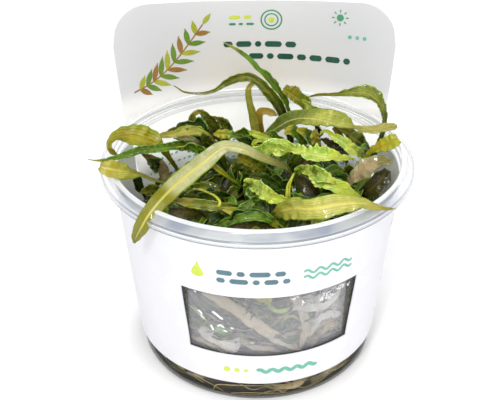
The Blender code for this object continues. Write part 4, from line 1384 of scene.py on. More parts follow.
        tangle_from=0.2, tangle_to=0.6,
        route=[(42.2, 24.7, None), (37.6, 14.3, 60), (34.3, 7.3, 66), (31.3, 5.3, 69), (28.8, 5.2, 71),
               (26.6, 6.5, 72), (24.6, 7.6, 73), (23.2, 8.2, 74), (21.6, 8.1, 74), (20.5, 6.2, 73.5)],
        left=(0.5, 0.8, 1.3, 2, 1.8, 1.5, 0.9, 0.6, 0.4, 0.1),
        right=(0.5, 0.8, 1.3, 2, 1.8, 1.4, 0.9, 0.5, 0.4, 0.1)),
    "stalk_olive": dict(
        look="amber", slot="olive_leaf", ruffle=(0, 0), columns=8, thick=0.4,
        route=[(1.9, 10.9, None), (-1.6, 2.4, 56), (-5.5, -6.6, 62.5), (-8.4, -8.7, 66), (-10.7, -10.4, 69),
               (-13, -10.9, 71.5), (-15.4, -9.1, 72.5)],
        left=(0.3, 0.4, 0.3, 0.4, 0.6, 0.9, 0.9),
        right=(0.3, 0.4, 0.3, 0.4, 0.6, 0.8, 0.8)),
    "leaf_dark_centre": dict(
        look="dark", slot="dark_leaf", ruffle=(0.5, 0.4), ripple=3.6, tangle=[("dark", 2), ("brown", 1)],
        route=[(9.8, -3.3, None), (7.8, -8.2, 60), (5.1, -9, 64), (1.9, -10.3, 67), (-1, -11.5, 68.5),
               (-3.3, -12.2, 68)],
        left=(0.7, 1.3, 1.8, 1.8, 1.4, 0.4),
        right=(0.7, 1.2, 1.5, 1.5, 1.1, 0.4),
        more=[
            dict(look="olive", ruffle=(0.5, 0.6), ripple=3.6, lobes=0.3,
                 route=[(7.2, 7.1, None), (4.3, 3.5, 58), (1.5, -0.6, 64), (-1.3, -3, 68), (-4, -4.1, 70.5),
                        (-6.4, -4.5, 72)],
                 left=(1, 2, 2.4, 2.2, 1.8, 0.8)),
        ]),
    "leaf_dark_crisped": dict(
        look="dark", slot="dark_leaf", ruffle=(0.9, 0.9), ripple=2.7, lobes=0.35,
        tangle=[("dark", 2), ("green", 3)],
        route=[(-4.6, 8.1, None), (-5.3, -1.7, 60), (-6.1, -5.6, 66), (-6.9, -7.1, 70), (-7.7, -6.1, 72)],
        left=(0.7, 1.5, 2, 1.8, 0.6),
        more=[
            dict(look="orange", ruffle=(0.2, 0.2),
                 route=[(-3.4, 19.3, None), (-3.5, 2.8, 60), (-3, -2.6, 65), (-2.1, -4.6, 68),
                        (-1.6, -3.8, 69)],
                 left=(0.3, 0.5, 0.6, 0.5, 0.2)),
        ]),
    "leaf_front_brown": dict(
        look="brown", slot="olive_leaf", ruffle=(0.4, 0.4), lobes=0.15, tangle=[("brown", 1), ("olive", 1)],
        route=[(9.1, -24.1, None), (5.2, -26.3, 58), (0.8, -28.6, 61), (-3.8, -31.1, 63),
               (-8.3, -31.5, 62.6), (-11.9, -30.6, 61)],
        left=(0.6, 1.2, 1.8, 2.1, 1.8, 0.6),
        right=(0.6, 1.2, 1.8, 1.9, 1.7, 0.6)),
    "leaf_front_low": dict(
        look="brown", slot="dark_leaf", ruffle=(0.3, 0.3), lobes=0.1,
        route=[(-16.6, -16.9, None), (-16.7, -20.8, 58), (-18.4, -24.6, 63), (-20.7, -27, 65.5),
               (-23.6, -29.1, 67), (-27.1, -29.9, 68)],
        left=(0.6, 1.2, 2.1, 2.7, 2.7, 1.5),
        right=(0.6, 0.9, 1.1, 1.1, 1.1, 0.6)),
    "leaf_dark_left": dict(
        look="dark", slot="dark_leaf", ruffle=(0.3, 0.3), lobes=0.1, tangle=[("dark", 1)],
        route=[(-9.7, -3.2, None), (-9.3, -6.7, 57), (-12.1, -12.7, 62), (-16.3, -18.8, 65),
               (-20.5, -22.3, 67), (-23.2, -23, 68.5)],
        left=(0.7, 1.3, 2.1, 2.5, 1.8, 0.3),
        right=(0.7, 1.3, 1.7, 2.2, 1.5, 0.3)),
    "leaf_upright_left": dict(
        look="dark", slot="dark_leaf", width=3, narrows=0.7, ruffle=(0.3, 0.3),
        route=[(-38, 11, None), (-39.5, 8, 54), (-40, 4, 61)]),
    "leaf_left_low": dict(
        look="olive", slot="olive_leaf", width=3.6, narrows=0.7, ruffle=(0.4, 0.4), tangle=[("brown", 1)],
        route=[(-28, 6, None), (-33, 1, 56), (-36, -4, 59), (-38, -7, 60)]),
    "leaf_centre_crisped": dict(
        look="green", slot="green_leaf", ruffle=(1.1, 1.1), ripple=2.7, lobes=0.45,
        tangle=[("green", 2), ("dark", 1)], tangle_from=0.45,
        route=[(12.7, 34.9, None), (4.1, 19, 62), (-0.4, 14.8, 67), (-4.1, 12.1, 70), (-7.1, 9.5, 72),
               (-9.7, 8.6, 73), (-12.2, 7.3, 74), (-14.3, 7.4, 73.5)],
        left=(0.5, 0.7, 0.8, 1.1, 1.2, 1.4, 1.3, 0.3),
        right=(0.5, 0.7, 0.8, 0.8, 0.9, 1.5, 1.4, 0.3)),
    "leaf_centre_bright": dict(
        look="bright", slot="green_leaf", ruffle=(0.5, 0.5), ripple=3, lobes=0.15,
        tangle=[("bright", 1), ("green", 1)],
        route=[(11.8, 30.9, None), (8.5, 17.5, 62), (5.1, 14.2, 68), (2.9, 12.9, 69.5), (0.7, 12.5, 70.5),
               (-1.3, 13, 71), (-2.9, 14.4, 71)],
        left=(0.5, 0.5, 0.5, 1.1, 1.4, 1.1, 0.2),
        right=(0.5, 0.5, 0.5, 1.1, 1.2, 1, 0.2),
        more=[
            dict(look="bright", ruffle=(0.8, 0.9), ripple=2.6, fold=0.5,
                 route=[(4.7, 33.1, None), (2.3, 16.2, 62), (0.7, 11.7, 66), (-0.7, 9.4, 68), (-0.9, 10, 69),
                        (0.8, 10.8, 69.5), (3.1, 10.1, 69.5)],
                 left=(0.5, 0.8, 0.9, 0.8, 0.7, 0.7, 0.5)),
            dict(look="green", ruffle=(0.6, 0.7), ripple=3.2,
                 route=[(18.5, 34.5, None), (16.6, 21.3, 61), (15, 18.5, 66), (13.1, 16.9, 69),
                        (11.3, 15.1, 70.5), (9.5, 13, 70.5)],
                 left=(0.7, 1, 1.7, 1.9, 1.5, 0.5)),
            dict(look="green", ruffle=(0.7, 0.7), ripple=3,
                 route=[(24.3, 34.3, None), (20.6, 20.1, 62), (18.3, 17.3, 67), (16, 15.3, 70),
                        (13.6, 14.3, 71.5)],
                 left=(0.7, 1, 1.5, 1.5, 0.7)),
            dict(look="pale", ruffle=(0.8, 0.8), ripple=3,
                 route=[(23.6, 34.7, None), (21.2, 18, 62), (20.2, 14.1, 67), (19.6, 13.1, 70),
                        (19.7, 13.2, 72)],
                 left=(0.5, 1, 1.5, 1.5, 0.5)),
            dict(look="brown", ruffle=(0.8, 0.8), ripple=2.8,
                 route=[(33.1, 28.7, None), (28.9, 16.4, 62), (25.6, 11.5, 67), (23.1, 10.7, 69),
                        (21.3, 11.2, 69.5)],
                 left=(0.7, 1, 1.2, 1.1, 0.3)),
        ]),
}
def grown(route):
    """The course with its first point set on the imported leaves."""
    return [(x, y, mound_top(x, y) + STALK_FOOT_LIFT if z is None else z) for x, y, z in route]


def build_leaves(looks):
    """The leaves and stalks of their own, each with its further blades and crumpled leaflets."""
    draw = random.Random(SEEDS["leaflets"])
    for index, (node, plan) in enumerate(LEAVES.items()):
        plan = dict(plan, route=grown(plan["route"]), seed=1.0 + 0.73 * index)
        blades = [lay_blade(node + "_blade", plan, looks[plan["look"]])]
        for number, extra in enumerate(plan.get("more", []), start=1):
            extra = dict(extra, route=grown(extra["route"]), seed=plan["seed"] + 5.1 * number)
            blades.append(lay_blade(node + "_further", extra, looks[extra["look"]]))
        for look, count in plan.get("tangle", []):
            blades += [crumpled_leaflet(draw, plan, looks[look]) for _ in range(count)]
        finish_piece(join(node + "_blade", blades), None, plan["slot"], node)


def crumpled_leaflet(draw, plan, skin):
    """A short crisped blade that follows part of a leaf's course, pressed against it."""
    route = smooth_route(plan["route"], 1.0)[0]
    first, last = plan.get("tangle_from", 0.3), plan.get("tangle_to", 0.95)
    span = draw.uniform(0.25, 0.45)
    start = draw.uniform(first, max(first, last - span))
    angle = draw.uniform(0.0, 2.0 * math.pi)
    away = Vector((math.cos(angle), 0.6 * math.sin(angle), 0.8 * math.sin(angle)))
    away *= draw.uniform(1.2, 2.6)
    points = []
    for i in range(5):
        t = i / 4
        spot = route[min(len(route) - 1, round((start + span * t) * (len(route) - 1)))]
        points.append(spot + away * (0.25 + 1.1 * math.sin(math.pi * t * 0.8)))
    twist = draw.uniform(-70.0, 70.0)
    leaflet = dict(
        route=points, width=draw.uniform(3.0, 5.0), stalk=0.05, narrows=0.55,
        ruffle=(draw.uniform(0.6, 1.1), draw.uniform(0.6, 1.1)), ripple=draw.uniform(3.4, 5.6),
        lobes=0.5, columns=12, fold=0.4, seed=draw.uniform(0.0, 60.0),
        twist=[(0.0, twist), (1.0, twist + draw.uniform(-50.0, 50.0))])
    return lay_blade("leaflet", leaflet, skin)


# Packed leaves

def outwards(point):
    """Away from the cup's axis and a little up, for a leaf that shows its face through the wall."""
    return Vector((point.x, point.y, 0.35 * point.length)).normalized()


def upwards(_):
    """Up and a little to the front, wherever the leaf lies."""
    return Vector((0.0, -0.35, 1.0)).normalized()


def within(flat, reach):
    """A level place, moved in to a reach from the cup's axis."""
    return flat * (reach / flat.length) if flat.length > reach else flat


def wall_leaf(draw, low_z=PACK_BOTTOM_Z, high_z=PACK_TOP_Z):
    """The course of a leaf that winds along close to the wall."""
    angle, z = draw.uniform(-180.0, 180.0), draw.uniform(low_z, high_z)
    swing, climb = draw.uniform(35.0, 80.0) * draw.choice((-1, 1)), draw.uniform(-10.0, 12.0)
    deep = draw.uniform(2.8, 6.0)
    route = []
    for i in range(6):
        t = i / 5
        height = min(high_z + 3.0, max(low_z - 1.0, z + climb * t + 2.0 * math.sin(3.0 * t + z)))
        radius = cup_inner(height) - deep - 0.8 * math.sin(4.0 * t + angle)
        route.append(ring_point(angle + swing * t, radius, height))
    return route


def core_leaf(draw):
    """The course of a leaf somewhere in the middle of the cup."""
    angle, radius = draw.uniform(0.0, 360.0), draw.uniform(4.0, 28.0)
    z = draw.uniform(20.0, 40.0)
    heading = Vector((draw.uniform(-1, 1), draw.uniform(-1, 1), draw.uniform(-0.15, 0.5))).normalized()
    start = ring_point(angle, radius, z)
    bend = Vector((draw.uniform(-1, 1), draw.uniform(-1, 1), draw.uniform(-0.4, 0.4)))
    route = []
    for i in range(5):
        t = i / 4
        point = start + heading * (34.0 * (t - 0.5)) + bend * (8.0 * math.sin(math.pi * t))
        flat = within(Vector((point.x, point.y, 0.0)), CORE_REACH)
        route.append(Vector((flat.x, flat.y, min(PACK_TOP_Z, max(PACK_BOTTOM_Z, point.z)))))
    return route


def top_leaf(draw):
    """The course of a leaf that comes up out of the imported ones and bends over."""
    angle, radius = draw.uniform(0.0, 360.0), 38.0 * math.sqrt(draw.uniform(0.02, 1.0))
    foot = ring_point(angle, radius, 0.0)
    foot.z = mound_top(foot.x, foot.y) - 1.0
    away = Vector((draw.uniform(-1, 1), draw.uniform(-1, 1), 0.0)).normalized()
    rise, reach = draw.uniform(4.0, 11.0), draw.uniform(8.0, 20.0)
    route = []
    for i in range(5):
        t = i / 4
        point = foot + away * (reach * t)
        flat = within(Vector((point.x, point.y, 0.0)), RISING_REACH)
        route.append(Vector((flat.x, flat.y, foot.z + rise * math.sin(2.4 * t))))
    return route


def lying_leaf(draw):
    """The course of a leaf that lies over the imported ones."""
    angle, radius = draw.uniform(0.0, 360.0), 36.0 * math.sqrt(draw.uniform(0.0, 1.0))
    middle = ring_point(angle, radius, 0.0)
    turn, half = draw.uniform(0.0, math.pi), draw.uniform(9.0, 15.0)
    bow, lift = draw.uniform(-4.0, 4.0), draw.uniform(0.4, 2.6)
    route = []
    for i in range(5):
        t = 0.5 * i - 1.0
        flat = middle + Vector((math.cos(turn), math.sin(turn), 0.0)) * (half * t)
        flat += Vector((-math.sin(turn), math.cos(turn), 0.0)) * (bow * t * t)
        flat = within(flat, LYING_REACH)
        height = mound_top(flat.x, flat.y) + lift + 0.8 * math.sin(3.0 * t + angle)
        route.append(Vector((flat.x, flat.y, height)))
    return route


def wall_route(spots, depth):
    """A course just inside the wall through (angle, height) spots."""
    return [ring_point(degrees, cup_inner(z) - depth, z) for degrees, z in spots]


# What shows behind the window: look, width, depth behind the wall, then (angle, height) spots.
WINDOW_LEAVES = [
    ("tan", 3.8, 0.55, [(-24, 44.5), (-15.9, 41.1), (-8.4, 37.5), (0.9, 31.1), (11.2, 24.7), (20, 19.5)]),
    ("tan", 3.0, 0.6, [(13, 46), (15.2, 42.5), (18.4, 36), (21.2, 29.4), (19.8, 23), (18, 19.5)]),
    ("brown", 5.0, 2.2, [(-37, 41), (-28, 37), (-19, 31.5), (-11, 28)]),
    ("grey", 6.4, 2.0, [(-38, 25.5), (-28, 24.5), (-19, 24), (-11, 22.5)]),
    ("silver", 7.0, 1.0, [(15, 41), (22, 39), (29, 38), (38, 41)]),
    ("silver", 7.0, 1.2, [(20, 27), (27, 32.5), (35, 33), (43, 29)]),
    ("grey", 5.0, 1.5, [(22, 22), (29, 26), (37, 27), (44, 23)]),
    ("tan", 2.2, 1.1, [(22, 25), (29, 29), (37, 29.5), (44, 24)]),
    ("brown", 3.0, 2.2, [(24, 21), (32, 22), (41, 21)]),
    ("dark", 5.0, 2.6, [(4, 44), (9, 38), (13, 33), (17, 26)]),
    ("dark", 4.8, 1.2, [(8, 29), (13, 26.5), (17, 25.5), (21, 24)]),
    ("dark", 4.0, 1.3, [(14, 34), (18, 33), (23, 34.5), (26, 36)]),
    ("dark", 3.4, 1.1, [(-28, 43), (-24, 40), (-20, 38.5), (-16, 38)]),
    ("silver", 7.6, 1.2, [(-26, 29), (-21, 26), (-14, 24), (-8, 25)]),
    ("brown", 2.6, 0.5, [(-34.5, 46), (-34.5, 38), (-34.8, 30), (-35, 20)]),
    ("brown", 3.4, 0.5, [(42.2, 46), (42.2, 38), (42.4, 30), (42.6, 20)]),
    ("olive", 3.4, 2.0, [(-12, 45), (-4, 41), (2, 36), (7, 33)]),
    ("amber", 3.0, 0.9, [(-3, 46), (0.5, 44), (3, 42.5), (2, 40.8)]),
    ("bright", 1.0, 0.7, [(-37, 37.8), (-30, 35.8), (-26, 33.5), (-23.5, 31)]),
    ("bright", 1.3, 0.8, [(3.5, 40.5), (7, 38), (10.5, 37.6), (13, 39)]),
    ("pale", 0.9, 0.9, [(9, 32), (11.5, 34.8), (15, 34.6), (18, 32)]),
    ("green", 2.4, 1.0, [(-24, 30.5), (-20, 29.3), (-15.5, 28.7), (-12, 29.8)]),
    ("olive", 1.2, 1.0, [(-37, 30.5), (-31, 29.2), (-24, 30), (-19, 33)]),
    ("tan", 1.6, 1.2, [(-9, 25.5), (-3, 22.6), (4, 22), (10, 20)]),
    ("brown", 3.6, 1.9, [(-6, 34), (-3, 28), (2, 25), (8, 22)]),
]


# Tones of the strands behind the window, left of an angle and right of it.
LEFT_TONES = ["dark", "brown", "tan", "olive", "dark", "grey", "brown"]
RIGHT_TONES = ["silver", "grey", "tan"]
RIGHT_TONES_FROM_DEG = 22.0


def scattered_leaves(draw, looks, kinds):
    """Many plain leaves: how many, their course, widths, tones and which way they face."""
    pieces = []
    for count, course, widths, tones, facing in kinds:
        bend = 60.0 if facing is None else 15.0
        for _ in range(count):
            plan = dict(
                route=course(draw), width=draw.uniform(*widths), stalk=0.05, narrows=0.6, columns=8,
                step=1.5, ruffle=(draw.uniform(0.3, 1.0), draw.uniform(0.3, 1.0)),
                ripple=draw.uniform(4.0, 7.0), seed=draw.uniform(0.0, 50.0),
                twist=[(0.0, draw.uniform(-bend, bend)), (1.0, draw.uniform(-bend, bend))])
            pieces.append(lay_blade("packed_leaf", plan, looks[draw.choice(tones)], facing))
    return pieces


def window_strand(draw, looks, seed):
    """A thin strand somewhere behind the window."""
    angle, z = draw.uniform(-37.0, 46.0), draw.uniform(21.0, 46.0)
    turn, reach = draw.uniform(-1.0, 1.0), draw.uniform(6.0, 15.0)
    bow = draw.uniform(-3.0, 3.0)
    spots = []
    for t in (0.0, 0.3, 0.6, 1.0):
        walked = reach * (t - 0.5)
        spots.append((angle + walked * math.cos(turn) / WALL_MM_PER_DEG,
                      z + walked * math.sin(turn) + bow * math.sin(math.pi * t)))
    plan = dict(route=wall_route(spots, draw.uniform(0.9, 1.6)), width=draw.uniform(0.35, 1.4), stalk=0.0,
                narrows=0.5, columns=6, step=0.9, ruffle=(0.0, 0.0), fold=0.1, pucker=0.0, seed=seed)
    tones = LEFT_TONES if angle < RIGHT_TONES_FROM_DEG else RIGHT_TONES
    return lay_blade("window_strand", plan, looks[draw.choice(tones)], outwards)


def build_packed_leaves(looks):
    """Packed leaves: against the wall, in the core and behind the window."""
    draw = random.Random(SEEDS["packed"])
    pieces = scattered_leaves(draw, looks, [
        (58, wall_leaf, (4.5, 8.0), ["brown", "grey", "grey", "olive", "dark"], outwards),
        (30, core_leaf, (5.0, 8.0), ["dark", "dark", "brown"], None),
    ])
    for index, (look, width, depth, spots) in enumerate(WINDOW_LEAVES):
        plan = dict(route=wall_route(spots, depth), width=width, stalk=0.0, narrows=0.7, columns=10, step=0.9,
                    ruffle=(0.3, 0.35), ripple=5.0, fold=0.15, pucker=0.2, seed=3.0 * index)
        pieces.append(lay_blade("window_leaf", plan, looks[look], outwards))
    pieces += [window_strand(draw, looks, index) for index in range(STRANDS)]
    # A dark lump that fills the inside of the packed leaves; its dark leaf colour is painted shade for the
    # deep gaps among them.
    pieces.append(mat_drum("packed_shade_core", PACK_BOTTOM_Z, mound_top, 0.9, 2.0, looks["dark"]))
    finish_piece(join("packed_leaves", pieces), None, "inner_leaf_mass", "inner_leaves")


def build_upper_leaves(looks):
    """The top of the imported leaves: some lie over them and some rise among the loose ones."""
    pieces = scattered_leaves(random.Random(SEEDS["upper"]), looks, [
        (96, lying_leaf, (5.0, 9.0), ["dark", "green", "green", "brown", "olive", "dark"], upwards),
        (74, top_leaf, (3.0, 5.2), ["dark", "green", "green", "olive", "dark", "brown"], None),
    ])
    finish_piece(join("upper_packed_leaves", pieces), None, "inner_leaf_mass")


def foot_reach(z):
    """Radius of the inside of the cup, which is rounded at the foot."""
    low = min(FLOOR_ROUND, max(0.0, FLOOR_THICK + FLOOR_ROUND - z))
    return cup_inner(z) - (FLOOR_ROUND - math.sqrt(FLOOR_ROUND**2 - low**2))


def mat_drum(name, bottom_z, top_of, share, swell, material):
    """A crumpled lump that fills a share of the cup's width between two heights."""
    columns, rows = 72, 30
    cap = 0.25

    def place(column, row):
        around, t = 2.0 * math.pi * (column % columns) / columns, row / rows
        if t < cap:
            out, lift = t / cap, 0.0
        elif t < 1.0 - cap:
            out, lift = 1.0, (t - cap) / (1.0 - 2.0 * cap)
        else:
            out, lift = (1.0 - t) / cap, 1.0
        height = lerp(bottom_z, top_of(0.0, 0.0), lift)
        reach = foot_reach(height) * share * out
        point = Vector((math.cos(around) * reach, math.sin(around) * reach, 0.0))
        point.z = lerp(bottom_z, top_of(point.x, point.y), lift)
        rumple = noise.fractal(point * 0.16, 1.0, 2.0, 3)
        out_from_middle = Vector((point.x, point.y, 8.0 * (lift - 0.5))).normalized()
        return point + out_from_middle * swell * (rumple - 0.9)

    piece = laid_grid(name, columns, rows, place)
    edit_whole(piece, merging(0.01), facing_out())
    piece.data.materials.append(material)
    return piece


# Roots

# Leaf ends that show in the foot: look, width, then (angle, height) spots.
FOOT_LEAVES = [
    ("grey", 2.8, [(3, 8.5), (9, 5.6), (17, 5.2), (25, 7.5)]),
    ("grey", 2.0, [(26, 4.6), (34, 5.6), (43, 7.6), (50, 10)]),
    ("tan", 1.2, [(48, 8.6), (56, 7.0), (64, 5.4)]),
    ("brown", 3.0, [(-52, 7), (-44, 5.6), (-36, 6.6)]),
    ("grey", 1.8, [(-36, 7.6), (-30, 6.2), (-26, 7)]),
]


def mat_top(*_):
    """Height of the root mat, the same all over."""
    return MAT_TOP_Z


def build_roots(looks, root_skin, root_dark):
    """A mat in the foot of the cup with thread roots and leaf ends over it."""
    draw = random.Random(SEEDS["roots"])
    mat = mat_drum("root_core", MAT_BOTTOM_Z, mat_top, 0.992, 0.15, root_dark)
    ends = []
    for _ in range(26):
        plan = dict(route=wall_leaf(draw, 5.6, 15.0), width=draw.uniform(3.0, 5.5), stalk=0.05, narrows=0.6,
                    columns=8, step=1.5, ruffle=(0.4, 0.4), seed=draw.uniform(0.0, 50.0),
                    twist=[(0.0, draw.uniform(-30, 30)), (1.0, draw.uniform(-30, 30))])
        ends.append(lay_blade("root_leaf", plan, looks[draw.choice(["brown", "dark", "grey"])], outwards))
    for look, width, spots in FOOT_LEAVES:
        plan = dict(route=wall_route(spots, 0.2), width=width, stalk=0.0, narrows=0.75, columns=10, step=0.9,
                    ruffle=(0.0, 0.0), fold=0.0, pucker=0.0, thick=0.08, hangs=True, seed=width)
        ends.append(lay_blade("foot_leaf", plan, looks[look], outwards))
    tangle = join("root_tangle", [mat, thread_roots(draw, root_skin)] + ends)
    finish_piece(tangle, None, "root_mass", "roots")


# Roots told apart in the foot: thickness, then (angle, height) spots.
FOOT_THREADS = [
    (0.2, [(-23, 1.9), (-20.7, 4.6), (-13.1, 5.7), (-4.5, 6.2), (5.1, 6.1), (14.8, 5.8), (24, 6.4),
           (36, 8.2)]),
    (0.17, [(-14, 1.6), (-6.9, 2.8), (4.2, 2.6), (15.3, 1.5), (24, 1.6)]),
    (0.2, [(4, 7.6), (5.1, 6.1), (9, 3.4), (13.7, 1.4)]),
    (0.2, [(18, 6.6), (14.9, 4.4), (12.6, 2.5), (9, 1.4)]),
    (0.2, [(22, 1.6), (30, 2.6), (38.6, 4.4), (50.6, 5.8), (60, 6.0)]),
    (0.24, [(12, 7.4), (15.3, 5.7), (19.5, 3.2), (24.5, 2.2), (30, 3.4), (35.2, 5.4)]),
    (0.24, [(36, 6.6), (39.5, 4.4), (45, 3.8), (52, 5.2), (58, 8.2)]),
    (0.16, [(-73, 4.2), (-58.3, 5.6), (-47.9, 4.6), (-35.7, 4.8), (-28, 3.6)]),
    (0.2, [(-57, 9.0), (-43.2, 6.1), (-27, 4.8), (-18, 2.4)]),
]


def loose_root(draw, z_most):
    """Thickness and course of a root that wanders round the foot."""
    angle, z = draw.uniform(-180.0, 180.0), draw.uniform(2.0, z_most)
    swing, climb = draw.uniform(12.0, 46.0), draw.uniform(-4.0, 4.0)
    sway, lag = draw.uniform(0.6, 2.2), draw.uniform(0.0, 6.0)
    course = []
    for i in range(9):
        t = i / 8
        height = z + climb * t + sway * math.sin(5.0 * t + lag) + 0.5 * math.sin(13.0 * t + 2.0 * lag)
        height = min(ROOT_HIGHEST_Z, max(ROOT_LOWEST_Z, height))
        course.append(ring_point(angle + swing * t, cup_inner(height), height))
    return draw.uniform(0.08, 0.16), course


def thread_roots(draw, skin):
    """Fine pale roots just inside the wall, each thinner towards its end."""
    data = bpy.data.curves.new("threads", "CURVE")
    data.dimensions = "3D"
    data.bevel_depth = 1.0 * MM
    data.bevel_resolution = 1
    data.use_fill_caps = True
    courses = [(thick, wall_route(spots, 0.0)) for thick, spots in FOOT_THREADS]
    courses += [loose_root(draw, 16.0 if index % 2 else 9.0) for index in range(LOOSE_ROOTS)]
    for index, (thick, course) in enumerate(courses):
        route = smooth_route(course, 0.8)[0]
        spline = data.splines.new("POLY")
        spline.points.add(len(route) - 1)
        for i, point in enumerate(route):
            height = max(1.3, point.z)
            reach = foot_reach(height) - thick - 0.05 * (index % 4)
            flat = Vector((point.x, point.y, 0.0)).normalized() * reach
            spline.points[i].co = (flat.x * MM, flat.y * MM, height * MM, 1.0)
            spline.points[i].radius = thick * (1.0 - 0.5 * i / len(route))
    threads = bpy.data.objects.new("threads", data)
    bpy.context.collection.objects.link(threads)
    select_only(threads)
    bpy.ops.object.convert(target="MESH")
    threads = bpy.context.active_object
    threads.data.materials.append(skin)
    return threads


# Moisture on the inside of the wall, and painted glints on it

def build_mist(film):
    """A milky film on the wall behind the window, with a clear strip left at each side."""
    columns, rows = 48, 14

    def place(column, row):
        t = row / rows
        degrees = lerp(lerp(*MIST_LEFT_DEG, t), lerp(*MIST_RIGHT_DEG, t), column / columns)
        z = lerp(WINDOW_BOTTOM_Z - 0.55, WINDOW_TOP_Z + 1.5, t)
        return ring_point(degrees, cup_inner(z) - MIST_OFF_WALL, z)

    piece = laid_grid("wall_mist", columns, rows, place)
    apply_modifier(piece, "SOLIDIFY", thickness=FILM * MM, offset=0.0)
    finish_piece(piece, film, "clear_plastic")


def on_wall(side, z, lift):
    """A point on the inner face of the wall, side along it from the front."""
    radius = cup_inner(z)
    return ring_point(math.degrees(side / radius), radius - GLINT_OFF_WALL + lift, z)


# Painted glints behind the window, white streaks on the wall: (angle, height) spots of each streak, then its
# width.
GLINT_STREAKS = [
    ([(-27.4, 35.8), (-26.2, 35.5), (-25.4, 34.4)], 0.75),
    ([(-26.4, 34.2), (-25.4, 33.4), (-24.6, 32.6)], 0.5),
    ([(-20.6, 36.8), (-18.6, 35.8), (-17.4, 34.9), (-15.8, 34.3)], 0.85),
    ([(-21.7, 31.0), (-21.1, 29.9), (-20.6, 28.8)], 0.75),
    ([(-18.6, 30.9), (-17.2, 31.8), (-15.5, 30.7)], 0.7),
    ([(-16.0, 29.7), (-14.2, 29.2)], 0.6),
    ([(-12.8, 31.3), (-11.3, 30.8)], 0.6),
    ([(-28.4, 43.5), (-27.2, 43.0)], 0.55),
]


# Where the short curls of painted glint gather: angle, height, spread of each, and how many.
GLINT_CURLS = [(29.6, 40.4, 3.4, 1.3, 24), (35.5, 42.0, 2.4, 0.9, 12), (40.6, 41.4, 0.7, 0.6, 3),
             (14.8, 42.9, 1.2, 0.5, 5), (18.0, 40.4, 0.6, 0.8, 3)]

# Where drops cling to the wall, in the same way.
DROPS = [(33.0, 43.0, 5.0, 2.2, 16), (26.0, 41.5, 3.5, 1.8, 12), (-18.0, 32.0, 5.0, 4.0, 9)]


def build_painted_glints(glints):
    """Painted glints: white streaks at the left and short white curls at the upper right, standing in for
    highlights on the wet wall.
    """
    draw = random.Random(SEEDS["glints"])
    marks = []
    for spots, width in GLINT_STREAKS:
        points = [(math.radians(degrees) * cup_inner(z), z) for degrees, z in spots]
        marks.append(stroke(on_wall, points, width, columns=4, step=0.2))
    for degrees, height, spread, rise, count in GLINT_CURLS:
        for _ in range(count):
            z = height + draw.uniform(-rise, rise)
            side = math.radians(degrees + draw.uniform(-spread, spread)) * cup_inner(z)
            turn = draw.uniform(0.0, math.pi)
            reach = draw.uniform(0.35, 0.8)
            bend = draw.uniform(-0.35, 0.35)
            curl = [(side - reach * math.cos(turn), z - reach * math.sin(turn)), (side + bend, z - bend),
                    (side + reach * math.cos(turn), z + reach * math.sin(turn))]
            marks.append(stroke(on_wall, curl, draw.uniform(0.22, 0.4), step=0.2))
    piece = join("painted_glints", marks)
    apply_modifier(piece, "SOLIDIFY", thickness=FILM * MM, offset=0.0)
    finish_piece(piece, glints, "clear_plastic")


def build_droplets(water):
    """Small drops on the wall, flat against it and drawn out a little below."""
    draw = random.Random(SEEDS["drops"])
    drops = []
    for degrees, height, spread, rise, count in DROPS:
        for _ in range(count):
            z = height + draw.uniform(-rise, rise)
            size = draw.uniform(0.25, 0.7)
            angle = degrees + draw.uniform(-spread, spread)
            spot = ring_point(angle, cup_inner(z) - DROP_OFF_WALL, z)
            bpy.ops.object.select_all(action="DESELECT")
            bpy.ops.mesh.primitive_uv_sphere_add(segments=12, ring_count=8, radius=size * MM)
            drop = bpy.context.active_object
            inwards = Vector((spot.x, spot.y, 0.0)).normalized()
            for vert in drop.data.vertices:
                flat = vert.co - inwards * vert.co.dot(inwards) * 0.55
                flat.z *= 1.0 + 0.3 * (flat.z < 0)
                vert.co = flat + (spot - inwards * 0.2) * MM
            drops.append(drop)
    finish_piece(join("wall_droplets", drops), water, "clear_plastic")


# Stage

# Each lamp, in metres and watts: its name, place, width, height and power.
LAMPS = [
    ("key_softbox", (-0.14, -0.52, 0.62), 0.11, 0.11, 2.0),
    ("fill_softbox", (0.5, -0.45, 0.35), 0.2, 0.4, 0.6),
    ("front_softbox", (0.05, -0.85, 0.5), 0.6, 0.4, 1.9),
    ("back_softbox", (0.18, 0.5, 0.5), 0.3, 0.2, 1.1),
    ("overhead_softbox", (-0.05, -0.3, 0.9), 0.7, 0.7, 4.2),
]
LAMPS_AIM = Vector((0.0, 0.0, 0.06))


def add_lamp(name, place, width, height, power):
    data = bpy.data.lights.new(name, "AREA")
    data.shape = "RECTANGLE"
    data.size = width
    data.size_y = height
    data.energy = power
    lamp = bpy.data.objects.new(name, data)
    bpy.context.collection.objects.link(lamp)
    lamp.location = place
    lamp.rotation_euler = (LAMPS_AIM - Vector(place)).to_track_quat("-Z", "Y").to_euler()


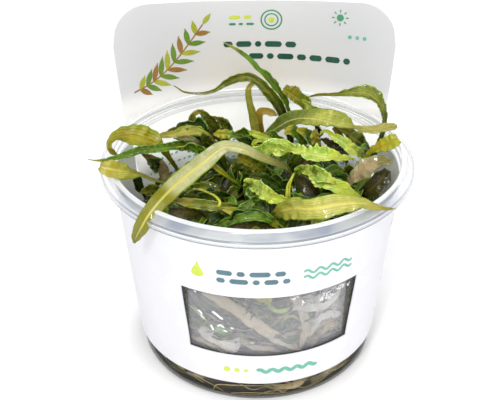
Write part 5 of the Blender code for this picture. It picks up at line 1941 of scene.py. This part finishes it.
def build_stage():
    """A plain pale floor, soft studio light and the camera."""
    bpy.ops.object.select_all(action="DESELECT")
    bpy.ops.mesh.primitive_plane_add(size=6.0, location=(0.0, 0.0, -0.0003))
    floor = bpy.context.active_object
    floor.name = "floor"
    pale = surface_material("pale_floor", (250, 250, 251), (253, 253, 253), 40.0, 0.5, 0.6, 0.01)
    floor.data.materials.append(pale)
    floor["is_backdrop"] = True
    world = bpy.data.worlds.new("studio")
    bpy.context.scene.world = world
    world.use_nodes = True
    set_sockets(world.node_tree.nodes["Background"], Color=(1.0, 1.0, 1.0, 1.0), Strength=0.5)
    for lamp in LAMPS:
        add_lamp(*lamp)
    build_camera()
    bpy.context.scene.view_settings.view_transform = "Standard"


def build_camera():
    """The camera, at the photograph's angle and framing."""
    data = bpy.data.cameras.new("camera")
    data.lens = CAMERA_LENS
    data.sensor_width = SENSOR_WIDTH
    data.clip_start = 0.01
    camera = bpy.data.objects.new("camera", data)
    bpy.context.collection.objects.link(camera)
    azimuth, elevation = math.radians(CAMERA_AZIMUTH), math.radians(CAMERA_ELEVATION)
    back = Vector((math.sin(azimuth) * math.cos(elevation), -math.cos(azimuth) * math.cos(elevation),
                   math.sin(elevation)))
    right = Vector((math.cos(azimuth), math.sin(azimuth), 0.0))
    camera.location = (right * LOOK_RIGHT + Vector((0.0, 0.0, LOOK_UP)) + back * CAMERA_DISTANCE) * MM
    camera.rotation_euler = back.to_track_quat("Z", "Y").to_euler()
    bpy.context.scene.camera = camera


def write_sizes():
    """Works out the CAD's box and the visual model's box, in metres; they are not written anywhere."""
    boxes = {"cad": cad_box, "visual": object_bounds()}
    sizes = {name: [[float(v) for v in corner] for corner in box] for name, box in boxes.items()}


def main():
    looks = {name: leaf_material(name, *colours) for name, colours in LEAF_LOOKS.items()}
    outer_card = surface_material("coated_card", (222, 222, 227), (227, 227, 231), 1200.0, 0.34, 0.46, 0.006)
    root_skin = surface_material("root_skin", (198, 182, 128), (150, 132, 86), 700.0, 0.3, 0.5, 0.05)
    root_dark = surface_material("root_shade", (46, 42, 34), (22, 21, 18), 420.0, 0.35, 0.6, 0.4)
    build_cup(plastic_material())
    build_sleeve(outer_card, inner_card_material())
    build_print()
    build_leaves(looks)
    build_packed_leaves(looks)
    build_upper_leaves(looks)
    build_roots(looks, root_skin, root_dark)
    build_mist(film_material("wall_moisture", (216, 215, 222), 0.11, 0.06, 0.3))
    # The painted glints: a near-white film standing in for highlights on the wet wall.
    build_painted_glints(film_material("painted_glints", (252, 252, 252), 0.86, 0.14, 0.1))
    build_droplets(water_material())
    build_stage()
    write_sizes()


main()
